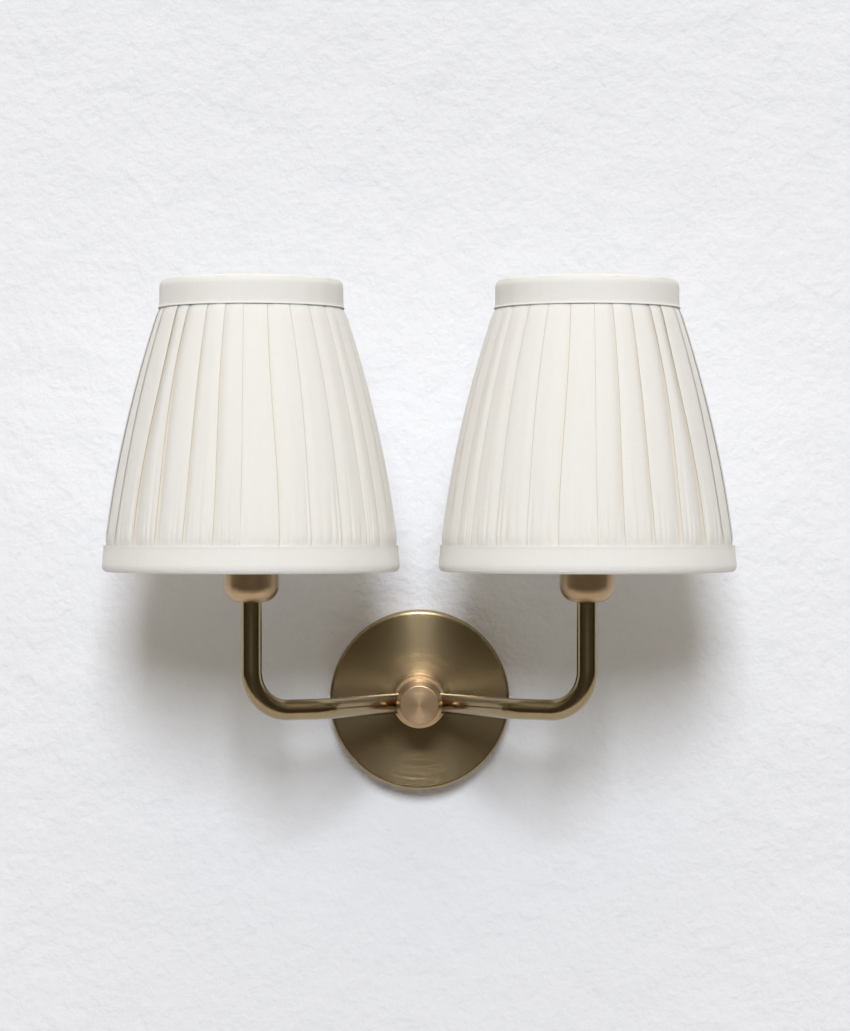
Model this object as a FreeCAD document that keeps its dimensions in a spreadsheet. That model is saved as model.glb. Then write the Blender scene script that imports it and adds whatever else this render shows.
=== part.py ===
import FreeCAD, Part
import math
import os
import Sketcher

# Double arm wall sconce. The wall is the plane Y = 0 and the room is on the -Y side. Z is up, and the
# origin is on the wall behind the middle of the rose. Wall-side pieces are drawn with their own Z as the
# distance from the wall, and then turned so that it points at the room. Lamp pieces are drawn on
# their own Z axis and then moved to the lamp's axis.

SIZES = [
    # name, size in mm or degrees, or a count
    ("rose_diameter", 100, "round cover on the wall"),
    ("rose_depth", 14, "wall to front face of the rose"),
    ("rose_wall", 1.2, "metal of the rose"),
    ("rose_edge", 2, "outer rounding of the rose"),
    ("rose_hook_height", 7, "wall to the side screws"),
    ("plate_diameter", 64, "middle disc of the bracket"),
    ("plate_thickness", 1.5, "steel of the bracket"),
    ("strap_height", 16, "width of the bracket's two straps"),
    ("flange_length", 10.5, "bent end of each strap"),
    ("slot_spacing", 54, "wall slots, centre to centre"),
    ("slot_length", 10, "wall slot, end to end"),
    ("slot_width", 4.5, "wall slot"),
    ("side_screw_diameter", 4, "rose screw"),
    ("side_head_diameter", 5.4, "head of a rose screw"),
    ("side_head_height", 1.2, "head of a rose screw"),
    ("screw_clearance", 0.1, "hole over screw, on the radius"),
    ("entry_drop", 20, "cable entry below the middle"),
    ("entry_diameter", 14, "hole for the cable bushing"),
    ("bushing_bore", 9, "hole through the bushing"),
    ("bushing_rim", 1.6, "rim of the bushing, wide and high"),
    ("earth_screw_diameter", 4, "earth screw"),
    ("earth_head_diameter", 7.5, "head of the earth screw"),
    ("earth_offset", 21, "earth screw beside the middle"),
    ("earth_drop", 14, "earth screw below the middle"),
    ("earth_head_height", 2, "head of the earth screw"),
    ("earth_washer_thickness", 1, "washer under the earth screw"),
    ("block_length", 27, "terminal block, along the straps"),
    ("block_height", 13, "terminal block, up the plate"),
    ("block_thickness", 9, "terminal block, off the plate"),
    ("block_lift", 20.5, "terminal block above the middle"),
    ("pole_pitch", 9, "pole to pole"),
    ("pole_bore", 4, "wire entry of a pole"),
    ("clamp_head_diameter", 3.2, "head of a clamp screw"),
    ("clamp_head_height", 1, "head of a clamp screw"),
    ("clamp_screw_diameter", 2.2, "clamp screw of a pole"),
    ("fixing_screw_diameter", 2.6, "screw that holds the terminal block"),
    ("fixing_head_diameter", 4.6, "head of the block's screw"),
    ("fixing_head_height", 1.2, "head of the block's screw"),
    ("collar_diameter", 29.6, "collar between rose and hub"),
    ("collar_length", 15, "collar, along the hub"),
    ("collar_edge", 0.8, "bevel of the collar"),
    ("socket_depth", 4, "hub sunk in the collar"),
    ("hub_diameter", 25, "hub"),
    ("hub_reach", 51, "rose face to hub front"),
    ("hub_bevel", 2.1, "bevel at the hub's front"),
    ("hub_soft", 0.5, "rounding of the bevel's edges"),
    ("hub_hollow", 16, "wiring hollow in the hub"),
    ("hub_front_wall", 6, "solid front of the hub"),
    ("thread_diameter", 10, "threaded nipple and arm tips"),
    ("thread_bore", 8, "hole through nipple and arm"),
    ("thread_play", 0.05, "thread clearance, on the radius"),
    ("nipple_stub", 1.5, "nipple past the collar"),
    ("nipple_tail", 0.3, "nipple past the clamp nut"),
    ("nut_width", 14, "clamp nut across its flats"),
    ("nut_thickness", 2.5, "clamp nut"),
    ("washer_diameter", 19, "washer under the clamp nut"),
    ("washer_thickness", 0.8, "washer under the clamp nut"),
    ("arm_diameter", 11, "arm tube"),
    ("arm_root", 16.8, "rose face to where the arm lines meet"),
    ("arm_splay_angle", 54, "first run of the arm, off the wall's line"),
    ("arm_knee", 49, "knee of the arm, from the middle"),
    ("knee_radius", 30, "bend at the knee"),
    ("elbow_radius", 21, "bend where the arm turns up"),
    ("arm_mouth", 8.4, "arm's inner end, from where the lines meet"),
    ("lamp_spacing", 176, "lamp to lamp"),
    ("lamp_reach", 119, "wall to the lamp axis"),
    ("tip_length", 9, "threaded tip of the arm"),
    ("cup_height", 57, "hub axis to the cup's underside"),
    ("cup_diameter", 29, "cup"),
    ("cup_depth", 17, "cup, outside"),
    ("cup_wall", 1.2, "metal of the cup"),
    ("cup_round", 7.5, "outer rounding of the cup's bottom"),
    ("base_diameter", 24.4, "lampholder base"),
    ("base_boss", 13.6, "boss under the lampholder base"),
    ("base_depth", 22, "lampholder base"),
    ("base_wall", 1, "metal of the lampholder"),
    ("base_floor", 2, "floor of the lampholder base"),
    ("base_slope", 4, "boss to full width, in height"),
    ("part_play", 0.1, "free space between nested parts"),
    ("skirt_diameter", 27.8, "lampholder skirt"),
    ("skirt_drop", 5, "skirt over the base"),
    ("skirt_rise", 24, "skirt above the base"),
    ("skirt_lip", 1.5, "lip at the skirt's top"),
    ("skirt_mouth", 19, "opening in the skirt's top"),
    ("shoulder_diameter", 33, "shoulder under the shade"),
    ("shoulder_rise", 8, "base's top to the shoulder"),
    ("shoulder_thickness", 2, "shoulder under the shade"),
    ("insert_recess", 3, "hollow under the insert"),
    ("insert_floor", 20, "insert's foot to the contact"),
    ("shell_wall", 0.4, "metal of the screw shell"),
    ("shell_depth", 15, "screw shell"),
    ("contact_length", 9, "centre contact leaf"),
    ("contact_width", 4, "centre contact leaf"),
    ("contact_thickness", 0.4, "centre contact leaf"),
    ("pip_diameter", 3, "raised middle of the contact leaf"),
    ("pip_height", 0.5, "raised middle of the contact leaf"),
    ("cap_diameter", 13.9, "bulb cap"),
    ("cap_length", 18, "bulb cap"),
    ("cap_bevel", 1.6, "taper at both ends of the cap's thread"),
    ("cap_flare", 2.4, "flared band at the cap's top"),
    ("cap_neck", 16.4, "flared top of the bulb cap"),
    ("foot_height", 3.4, "insulated foot of the bulb"),
    ("foot_diameter", 10, "insulated foot of the bulb"),
    ("button_diameter", 4.8, "contact of the bulb"),
    ("button_height", 1.2, "contact of the bulb"),
    ("bulb_diameter", 35, "glass, widest"),
    ("bulb_length", 100, "contact to glass tip"),
    ("bulb_neck", 15.6, "glass, where it meets the cap"),
    ("bulb_belly", 30, "cap to the widest glass"),
    ("bulb_nose", 5, "radius of the glass at its tip"),
    ("glass_wall", 0.8, "glass of the bulb"),
    ("fitter_diameter", 38, "shade fitter ring"),
    ("fitter_thickness", 1, "shade fitter ring"),
    ("fitter_play", 0.2, "fitter over the skirt, on the radius"),
    ("seat_play", 0.2, "fitter over the shoulder, and nut over fitter"),
    ("spoke_diameter", 2.4, "fitter spoke"),
    ("spoke_level", 13, "level part of a spoke"),
    ("spoke_bend", 12, "bend of a spoke"),
    ("spoke_count", 3, "spokes of a fitter"),
    ("nut_ring_diameter", 36, "shade ring nut"),
    ("nut_ring_height", 5, "shade ring nut"),
    ("grip_count", 18, "grooves round the shade ring nut"),
    ("grip_diameter", 2.4, "groove of the shade ring nut"),
    ("shade_bottom", 73, "hub axis to the shade's lower edge"),
    ("shade_height", 153, "shade"),
    ("shade_top_diameter", 96.2, "top band"),
    ("shade_bottom_diameter", 156.6, "bottom band at its lower edge"),
    ("shade_bulge", 3.9, "bow of the shade's side"),
    ("band_height", 14, "top and bottom bands"),
    ("band_thickness", 0.8, "bound cloth of a band"),
    ("band_turn", 3.4, "band turned over to the inside"),
    ("band_edge", 2.2, "rounding of the band's fold"),
    ("skin_thickness", 1.6, "lining and cloth at a fold"),
    ("pleat_count", 28, "pleats round the shade"),
    ("pleat_depth", 1.1, "step of a pleat"),
    ("pleat_flat", 0.45, "step of a pleat under a band"),
    ("pleat_ease", 2.8, "band to where the pleats stand open"),
    ("pleat_step_angle", 1.1, "face of a pleat's step"),
    ("pleat_uneven_ratio", 0.22, "by how much the pleats differ"),
    ("bow_steps", 5, "straight steps up the bowed side of the skin"),
    ("ring_wire", 2.8, "wire of the shade's two rings"),
    ("rib_wire", 2, "wire of the shade's ribs"),
    ("ribs_per_spoke", 2, "ribs of a shade, for each spoke"),
    ("cloth_play", 0.1, "free space between cloth layers and wire"),
    ("flex_diameter", 3.6, "inner flex"),
    ("flex_bend", 4.4, "bend of the flex behind the nipple"),
    ("flex_turn", 16, "bend of the flex in the hub"),
    ("flex_drop", 7, "bend of the flex under the terminal block"),
    ("flex_spacing", 3.8, "flex to flex in the nipple"),
    ("flex_entry", 3, "flex inside the terminal block"),
    ("free_gap", 0.3, "free space where nothing else sets it"),
]

doc = FreeCAD.newDocument("Sconce")
sheet = doc.addObject("Spreadsheet::Sheet", "Sizes")
for row, (name, size, note) in enumerate(SIZES, start=1):
    sheet.set(f"A{row}", name)
    sheet.set(f"B{row}", str(size))
    sheet.setAlias(f"B{row}", name)
    sheet.set(f"C{row}", note)
doc.recompute()

SIDES = {"left": -1, "right": 1}
SAME = 1e-4  # mm: two places nearer to each other than this are one
pieces = []


def size(name):
    """The number that the sheet holds under this name."""
    return float(sheet.get(name))


def number(expression):
    """What an expression on the sheet's names comes to."""
    return float(sheet.evalExpression(expression))


def bind(item, **expressions):
    """Ties each named property of an object to an expression on the sheet."""
    for prop, expression in expressions.items():
        item.setExpression(prop.replace("__", "."), expression)
    return item


def keep(item, label):
    """Names a finished sub-part and puts it on the list of what is written out."""
    item.Label = label
    pieces.append(item)
    return item


def face_the_room(item, height="0"):
    """Turns an object's own Z to the room and lifts it to a height above the hub axis."""
    item.Placement = FreeCAD.Placement(FreeCAD.Vector(), FreeCAD.Rotation(FreeCAD.Vector(1, 0, 0), 90))
    return bind(item, Placement__Base__z=height)


def put_on_lamp(item, side, height="0"):
    """Moves an object drawn on its own Z axis to one lamp's axis."""
    return bind(item, Placement__Base__x=f"{SIDES[side]} * Sizes.lamp_spacing / 2",
                Placement__Base__y="-Sizes.lamp_reach", Placement__Base__z=height)


# Sketches. Every corner is held by two dimensions from the sketch's origin, each tied to the sheet.

def new_sketch(body, plane, name):
    """A sketch on one of the body's own origin planes."""
    sketch = body.newObject("Sketcher::SketchObject", name)
    base = [f for f in body.Origin.OriginFeatures if f.Role == plane][0]
    sketch.AttachmentSupport = [(base, "")]
    sketch.MapMode = "FlatFace"
    return sketch


def hold(sketch, kind, target, expression):
    """Adds one dimension to a sketch and ties it to the sheet."""
    index = sketch.addConstraint(Sketcher.Constraint(kind, *target, number(expression)))
    sketch.setExpression(f"Constraints[{index}]", expression)


def draw_outline(sketch, corners):
    """A closed outline of straight lines through corners given as pairs of expressions."""
    spots = [FreeCAD.Vector(number(x), number(y), 0) for x, y in corners]
    first = sketch.GeometryCount
    for start, end in zip(spots, spots[1:] + spots[:1]):
        sketch.addGeometry(Part.LineSegment(start, end))
    count = len(spots)
    for i in range(count):
        after = first + (i + 1) % count
        sketch.addConstraint(Sketcher.Constraint("Coincident", first + i, 2, after, 1))
    for i, (x, y) in enumerate(corners):
        for kind, along in (("DistanceX", x), ("DistanceY", y)):
            if abs(number(along)) < SAME:
                axis = "PointOnObject"
                line = -2 if kind == "DistanceX" else -1
                sketch.addConstraint(Sketcher.Constraint(axis, first + i, 1, line))
            else:
                hold(sketch, kind, (-1, 1, first + i, 1), along)


def draw_circle(sketch, x, y, diameter):
    """A circle with its centre and diameter tied to the sheet."""
    middle = FreeCAD.Vector(number(x), number(y), 0)
    circle = Part.Circle(middle, FreeCAD.Vector(0, 0, 1), number(diameter) / 2)
    index = sketch.addGeometry(circle)
    hold(sketch, "Diameter", (index,), diameter)
    for kind, along in (("DistanceX", x), ("DistanceY", y)):
        if abs(number(along)) < SAME:
            line = -2 if kind == "DistanceX" else -1
            sketch.addConstraint(Sketcher.Constraint("PointOnObject", index, 3, line))
        else:
            hold(sketch, kind, (-1, 1, index, 3), along)


def turned(label, corners):
    """A body turned about its own Z axis from an outline of (radius, height) corners."""
    body = doc.addObject("PartDesign::Body", label)
    sketch = new_sketch(body, "XZ_Plane", label + "_outline")
    draw_outline(sketch, corners)
    turn = body.newObject("PartDesign::Revolution", label + "_turn")
    turn.Profile = (sketch, [""])
    turn.ReferenceAxis = (sketch, ["V_Axis"])
    turn.Angle = 360
    sketch.Visibility = False
    doc.recompute()
    return body


def circle_edges(feature, rings):
    """The names of the circular edges about Z that lie at each (radius, height)."""
    names = []
    for radius, height in rings:
        for i, edge in enumerate(feature.Shape.Edges, start=1):
            curve = edge.Curve
            if not isinstance(curve, Part.Circle):
                continue
            flat = abs(curve.Center.z - number(height)) < SAME
            if flat and abs(curve.Radius - number(radius)) < SAME:
                names.append(f"Edge{i}")
    return names


def dress(body, kind, rings, amount):
    """Rounds or bevels the circular edges of a turned body."""
    feature = body.newObject(f"PartDesign::{kind}", f"{body.Name}_{kind.lower()}")
    base = body.Group[-2]
    feature.Base = (base, circle_edges(base, rings))
    bind(feature, **{"Radius" if kind == "Fillet" else "Size": amount})
    body.Tip = feature
    doc.recompute()
    return feature


# Wires, tubes and cords follow a route of straight runs joined by tangent arcs.

def route(points, radii):
    """One wire through the points, with each inner corner rounded to its radius."""
    spots = [FreeCAD.Vector(*p) for p in points]
    edges = []
    last = spots[0]
    for before, corner, after, radius in zip(spots, spots[1:], spots[2:], radii):
        inward = (before - corner).normalize()
        outward = (after - corner).normalize()
        half_turn = (math.pi - inward.getAngle(outward)) / 2
        reach = radius * math.tan(half_turn)
        start = corner + inward * reach
        end = corner + outward * reach
        bisector = (inward + outward).normalize()
        middle = corner + bisector * (radius / math.cos(half_turn) - radius)
        edges.append(Part.LineSegment(last, start).toShape())
        edges.append(Part.Arc(start, middle, end).toShape())
        last = end
    edges.append(Part.LineSegment(last, spots[-1]).toShape())
    return Part.Wire(edges)


def rod_along(wire, radius):
    """A round solid rod along a route."""
    first = wire.Edges[0]
    start = first.valueAt(first.FirstParameter)
    ring = Part.Wire(Part.Circle(start, first.tangentAt(first.FirstParameter), radius).toShape())
    return wire.makePipeShell([ring], True, False)


def lamp_piece(label, shape, side):
    """A sub-part whose shape is worked out here from the sheet's values, moved to its lamp's axis."""
    item = doc.addObject("Part::Feature", label)
    item.Shape = shape
    put_on_lamp(item, side)
    return keep(item, label)


def about_z(shape, count, first=0.0):
    """Copies of a shape spaced evenly about the Z axis."""
    copies = []
    for i in range(count):
        copy = shape.copy()
        copy.rotate(FreeCAD.Vector(), FreeCAD.Vector(0, 0, 1), first + 360.0 * i / count)
        copies.append(copy)
    return copies


def ring_wire(radius, height, wire_radius):
    """A closed round wire about the Z axis."""
    return Part.makeTorus(radius, wire_radius, FreeCAD.Vector(0, 0, height))


# Wall side: bracket, rose and what they hold.

ROSE_INNER = "(Sizes.rose_diameter / 2 - Sizes.rose_wall)"
STRAP_END = f"(sqrt({ROSE_INNER} ^ 2 - (Sizes.strap_height / 2) ^ 2) - Sizes.free_gap)"


def make_bracket():
    """Steel plate: a disc with two straps whose ends are bent to the room, with slots and holes."""
    body = doc.addObject("PartDesign::Body", "wall_bracket")
    profile = new_sketch(body, "XZ_Plane", "bracket_profile")
    end, thick, tall = STRAP_END, "Sizes.plate_thickness", "Sizes.flange_length"
    draw_outline(profile, [
        (f"-{end}", "0"), (end, "0"), (end, tall), (f"{end} - {thick}", tall),
        (f"{end} - {thick}", thick), (f"-({end} - {thick})", thick),
        (f"-({end} - {thick})", tall), (f"-{end}", tall)])
    strap = body.newObject("PartDesign::Pad", "bracket_strap")
    strap.Profile = (profile, [""])
    strap.SideType = "Symmetric"
    bind(strap, Length="Sizes.strap_height")
    doc.recompute()
    disc_sketch = new_sketch(body, "XY_Plane", "bracket_disc_outline")
    draw_circle(disc_sketch, "0", "0", "Sizes.plate_diameter")
    disc = body.newObject("PartDesign::Pad", "bracket_disc")
    disc.Profile = (disc_sketch, [""])
    bind(disc, Length="Sizes.plate_thickness")
    doc.recompute()
    holes = new_sketch(body, "XY_Plane", "bracket_holes")
    draw_circle(holes, "0", "-Sizes.entry_drop", "Sizes.entry_diameter")
    draw_circle(holes, "Sizes.earth_offset", "-Sizes.earth_drop",
                "Sizes.earth_screw_diameter + 2 * Sizes.screw_clearance")
    draw_circle(holes, "0", "Sizes.block_lift",
                "Sizes.fixing_screw_diameter + 2 * Sizes.screw_clearance")
    cut = body.newObject("PartDesign::Pocket", "bracket_cut")
    cut.Profile = (holes, [""])
    cut.Type = 1
    cut.Reversed = True
    doc.recompute()
    slots = new_sketch(body, "XY_Plane", "bracket_slots")
    for sign in (-1, 1):
        draw_slot(slots, sign)
    slot_cut = body.newObject("PartDesign::Pocket", "bracket_slot_cut")
    slot_cut.Profile = (slots, [""])
    slot_cut.Type = 1
    slot_cut.Reversed = True
    doc.recompute()
    hooks = new_sketch(body, "YZ_Plane", "bracket_hooks")
    draw_circle(hooks, "0", "Sizes.rose_hook_height",
                "Sizes.side_screw_diameter + 2 * Sizes.thread_play")
    hook_cut = body.newObject("PartDesign::Pocket", "bracket_hook_cut")
    hook_cut.Profile = (hooks, [""])
    hook_cut.Type = 1
    hook_cut.SideType = "Symmetric"
    doc.recompute()
    face_the_room(body)
    return keep(body, "wall_bracket")


def draw_slot(sketch, sign):
    """A slot with round ends, lying along the strap, on one side of the middle."""
    half = number("(Sizes.slot_length - Sizes.slot_width) / 2")
    middle = sign * size("slot_spacing") / 2
    radius = size("slot_width") / 2
    up = FreeCAD.Vector(0, 0, 1)
    left, right = FreeCAD.Vector(middle - half, 0, 0), FreeCAD.Vector(middle + half, 0, 0)
    quarter = math.pi / 2
    first = sketch.GeometryCount
    sketch.addGeometry(Part.ArcOfCircle(Part.Circle(left, up, radius), quarter, 3 * quarter))
    sketch.addGeometry(Part.ArcOfCircle(Part.Circle(right, up, radius), -quarter, quarter))
    rise = FreeCAD.Vector(0, radius, 0)
    sketch.addGeometry(Part.LineSegment(left - rise, right - rise))
    sketch.addGeometry(Part.LineSegment(right + rise, left + rise))
    for pair in ((0, 2, 2, 1), (2, 2, 1, 1), (1, 2, 3, 1), (3, 2, 0, 1)):
        link = Sketcher.Constraint("Tangent", first + pair[0], pair[1], first + pair[2], pair[3])
        sketch.addConstraint(link)
    sketch.addConstraint(Sketcher.Constraint("PointOnObject", first, 3, -1))
    sketch.addConstraint(Sketcher.Constraint("PointOnObject", first + 1, 3, -1))
    hold(sketch, "Radius", (first,), "Sizes.slot_width / 2")
    reach = "(Sizes.slot_length - Sizes.slot_width) / 2"
    hold(sketch, "DistanceX", (-1, 1, first, 3), f"{sign} * Sizes.slot_spacing / 2 - {reach}")
    hold(sketch, "DistanceX", (-1, 1, first + 1, 3), f"{sign} * Sizes.slot_spacing / 2 + {reach}")


def make_rose():
    """Turned brass cover, open at the wall, with a middle hole and two side holes."""
    hole = "Sizes.thread_diameter / 2 + Sizes.screw_clearance"
    outer, inner = "Sizes.rose_diameter / 2", ROSE_INNER
    front, back = "Sizes.rose_depth", "Sizes.rose_depth - Sizes.rose_wall"
    rose = turned("wall_rose", [(hole, back), (inner, back), (inner, "0"), (outer, "0"),
                                (outer, front), (hole, front)])
    dress(rose, "Fillet", [(outer, front)], "Sizes.rose_edge")
    dress(rose, "Fillet", [(inner, back)], "Sizes.rose_edge - Sizes.rose_wall")
    holes = new_sketch(rose, "YZ_Plane", "rose_side_holes")
    draw_circle(holes, "0", "Sizes.rose_hook_height",
                "Sizes.side_screw_diameter + 2 * Sizes.screw_clearance")
    cut = rose.newObject("PartDesign::Pocket", "rose_side_cut")
    cut.Profile = (holes, [""])
    cut.Type = 1
    cut.SideType = "Symmetric"
    rose.Tip = cut
    doc.recompute()
    face_the_room(rose)
    keep(rose, "wall_rose")


def screw(label, shank, head, head_height, length):
    """A plain screw along its own Z: shank below zero, round head with a driver slot above."""
    body = turned(label, [("0", f"-({length})"), (f"{shank} / 2", f"-({length})"),
                          (f"{shank} / 2", "0"), (f"{head} / 2", "0"),
                          (f"{head} / 2", head_height), ("0", head_height)])
    dress(body, "Fillet", [(f"{head} / 2", head_height)], f"{head_height} / 3")
    slot = new_sketch(body, "XZ_Plane", label + "_slot_outline")
    half, low = f"{head} / 10", f"{head_height} / 2"
    draw_outline(slot, [(f"-{half}", low), (half, low), (half, f"{head_height} * 2"),
                        (f"-{half}", f"{head_height} * 2")])
    cut = body.newObject("PartDesign::Pocket", label + "_slot")
    cut.Profile = (slot, [""])
    cut.Type = 1
    cut.SideType = "Symmetric"
    body.Tip = cut
    doc.recompute()
    return body


def group(label, members):
    """Several like solids kept together as one sub-part."""
    item = doc.addObject("Part::Compound", label)
    item.Links = members
    doc.recompute()
    return keep(item, label)


def make_rose_screws():
    """Two screws that pull the rose onto the bracket's bent ends."""
    parts = []
    length = f"Sizes.rose_diameter / 2 - {STRAP_END} + Sizes.plate_thickness"
    for side, sign in SIDES.items():
        body = screw(f"rose_screw_{side}", "Sizes.side_screw_diameter", "Sizes.side_head_diameter",
                     "Sizes.side_head_height", length)
        turn = FreeCAD.Rotation(FreeCAD.Vector(0, 1, 0), 90 * sign)
        body.Placement = FreeCAD.Placement(FreeCAD.Vector(), turn)
        bind(body, Placement__Base__x=f"{sign} * Sizes.rose_diameter / 2",
             Placement__Base__y="-Sizes.rose_hook_height")
        parts.append(body)
    group("rose_screws", parts)


def make_bushing():
    """Plastic bushing that lines the cable entry of the bracket."""
    edge = "Sizes.entry_diameter / 2 - Sizes.part_play / 2"
    rim = "Sizes.entry_diameter / 2 + Sizes.bushing_rim"
    low, high = "Sizes.plate_thickness", "Sizes.plate_thickness + Sizes.bushing_rim"
    bore = "Sizes.bushing_bore / 2"
    body = turned("cable_bushing", [(bore, "0"), (edge, "0"), (edge, low), (rim, low),
                                    (rim, high), (bore, high)])
    dress(body, "Fillet", [(rim, high), (bore, high)], "Sizes.bushing_rim / 3")
    face_the_room(body, "-Sizes.entry_drop")
    keep(body, "cable_bushing")


def make_earth_terminal():
    """Earth screw in the bracket with its washer."""
    stack = "Sizes.plate_thickness + Sizes.earth_washer_thickness"
    body = screw("earth_screw", "Sizes.earth_screw_diameter", "Sizes.earth_head_diameter",
                 "Sizes.earth_head_height", stack)
    face_the_room(body, "-Sizes.earth_drop")
    bind(body, Placement__Base__x="Sizes.earth_offset", Placement__Base__y=f"-({stack})")
    keep(body, "earth_screw")
    hole = "Sizes.earth_screw_diameter / 2 + Sizes.screw_clearance"
    rim = "Sizes.earth_head_diameter / 2 + Sizes.earth_washer_thickness"
    low, high = "0", "Sizes.earth_washer_thickness"
    washer = turned("earth_washer", [(hole, low), (rim, low), (rim, high), (hole, high)])
    face_the_room(washer, "-Sizes.earth_drop")
    bind(washer, Placement__Base__x="Sizes.earth_offset", Placement__Base__y="-Sizes.plate_thickness")
    keep(washer, "earth_washer")


def make_terminal_block():
    """Two-pole block on the plate, with wire entries below and above, and wells for its screws."""
    body = doc.addObject("PartDesign::Body", "terminal_block")
    outline = new_sketch(body, "XY_Plane", "block_outline")
    half, low = "Sizes.block_length / 2", "-Sizes.block_height / 2"
    draw_outline(outline, [(f"-{half}", low), (half, low), (half, "Sizes.block_height / 2"),
                           (f"-{half}", "Sizes.block_height / 2")])
    pad = body.newObject("PartDesign::Pad", "block_pad")
    pad.Profile = (outline, [""])
    bind(pad, Length="Sizes.block_thickness")
    doc.recompute()
    entries = new_sketch(body, "XZ_Plane", "block_entries")
    wells = new_sketch(body, "XY_Plane", "block_wells")
    for pole in (-1, 1):
        draw_circle(entries, f"{pole} * Sizes.pole_pitch", "Sizes.block_thickness / 2",
                    "Sizes.pole_bore")
        for row in (-1, 1):
            draw_circle(wells, f"{pole} * Sizes.pole_pitch", f"{row} * Sizes.block_height / 4",
                        "Sizes.clamp_head_diameter + 2 * Sizes.screw_clearance")
    draw_circle(wells, "0", "0", "Sizes.fixing_screw_diameter + 2 * Sizes.screw_clearance")
    for name, sketch in (("block_entry_cut", entries), ("block_well_cut", wells)):
        cut = body.newObject("PartDesign::Pocket", name)
        cut.Profile = (sketch, [""])
        cut.Type = 1
        cut.SideType = "Symmetric"
        doc.recompute()
    keep(body, "terminal_block")
    face_the_room(body, "Sizes.block_lift")
    bind(body, Placement__Base__y="-Sizes.plate_thickness")


def make_block_screws():
    """Four clamp screws down in the block's wells, and the screw that holds the block."""
    shank = "Sizes.clamp_head_height"
    seat = "Sizes.plate_thickness + Sizes.block_thickness / 2 + Sizes.pole_bore / 2"
    clamps = []
    for pole, row in ((-1, -1), (-1, 1), (1, -1), (1, 1)):
        body = screw(f"clamp_screw_{len(clamps) + 1}", "Sizes.clamp_screw_diameter",
                     "Sizes.clamp_head_diameter", "Sizes.clamp_head_height", shank)
        face_the_room(body, f"Sizes.block_lift + {row} * Sizes.block_height / 4")
        bind(body, Placement__Base__x=f"{pole} * Sizes.pole_pitch",
             Placement__Base__y=f"-({seat} + {shank})")
        clamps.append(body)
    group("terminal_clamp_screws", clamps)
    stack = "Sizes.plate_thickness + Sizes.block_thickness"
    fixing = screw("terminal_fixing_screw", "Sizes.fixing_screw_diameter", "Sizes.fixing_head_diameter",
                   "Sizes.fixing_head_height", f"{stack} - Sizes.free_gap")
    face_the_room(fixing, "Sizes.block_lift")
    bind(fixing, Placement__Base__y=f"-({stack})")
    keep(fixing, "terminal_fixing_screw")


# Hub: collar, hollow body, and the threaded nipple that clamps them to the rose.

HUB_BACK = "(Sizes.rose_depth + Sizes.collar_length - Sizes.socket_depth)"
HUB_FRONT = "(Sizes.rose_depth + Sizes.hub_reach)"
ROSE_INSIDE = "(Sizes.rose_depth - Sizes.rose_wall)"
NUT_BACK = f"({ROSE_INSIDE} - Sizes.washer_thickness - Sizes.nut_thickness)"


def make_collar():
    """Turned collar in front of the rose, with a socket for the hub."""
    bore = "Sizes.thread_diameter / 2 + Sizes.thread_play"
    rim, socket = "Sizes.collar_diameter / 2", "Sizes.hub_diameter / 2 + Sizes.part_play"
    back, front = "Sizes.rose_depth", "Sizes.rose_depth + Sizes.collar_length"
    collar = turned("hub_collar", [(bore, back), (rim, back), (rim, front), (socket, front),
                                   (socket, HUB_BACK), (bore, HUB_BACK)])
    dress(collar, "Chamfer", [(rim, front)], "Sizes.collar_edge")
    face_the_room(collar)
    keep(collar, "hub_collar")


def arm_points(side, start):
    """The arm's line from a distance along its first run, by the knee and the elbow, to the cup."""
    sign, splay = SIDES[side], math.radians(size("arm_splay_angle"))
    root = size("rose_depth") + size("arm_root")
    knee = size("arm_knee")
    return [
        (sign * start * math.cos(splay), -(root + start * math.sin(splay)), 0),
        (sign * knee, -(root + knee * math.tan(splay)), 0),
        (sign * size("lamp_spacing") / 2, -size("lamp_reach"), 0),
        (sign * size("lamp_spacing") / 2, -size("lamp_reach"), size("cup_height")),
    ]


def make_hub():
    """Turned hub with a solid bevelled front, a wiring hollow and a slanted hole for each arm."""
    rim, hollow = "Sizes.hub_diameter / 2", "Sizes.hub_hollow / 2"
    inner_end = f"{HUB_FRONT} - Sizes.hub_front_wall"
    blank = turned("hub_blank", [("0", inner_end), (hollow, inner_end), (hollow, HUB_BACK),
                                 (rim, HUB_BACK), (rim, HUB_FRONT), ("0", HUB_FRONT)])
    dress(blank, "Chamfer", [(rim, HUB_FRONT)], "Sizes.hub_bevel")
    dress(blank, "Fillet", [(f"{rim} - Sizes.hub_bevel", HUB_FRONT),
                            (rim, f"{HUB_FRONT} - Sizes.hub_bevel")], "Sizes.hub_soft")
    face_the_room(blank)
    drills = []
    for side in SIDES:
        start, knee = [FreeCAD.Vector(*p) for p in arm_points(side, 0)[:2]]
        drill = doc.addObject("Part::Cylinder", f"hub_drill_{side}")
        bind(drill, Radius="Sizes.arm_diameter / 2 + Sizes.thread_play",
             Height="Sizes.hub_diameter + Sizes.arm_diameter")
        drill.Placement = FreeCAD.Placement(
            start, FreeCAD.Rotation(FreeCAD.Vector(0, 0, 1), knee - start))
        drills.append(drill)
    both = doc.addObject("Part::MultiFuse", "hub_drills")
    both.Shapes = drills
    hub = doc.addObject("Part::Cut", "hub_body")
    hub.Base, hub.Tool = blank, both
    doc.recompute()
    keep(hub, "hub_body")


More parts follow.
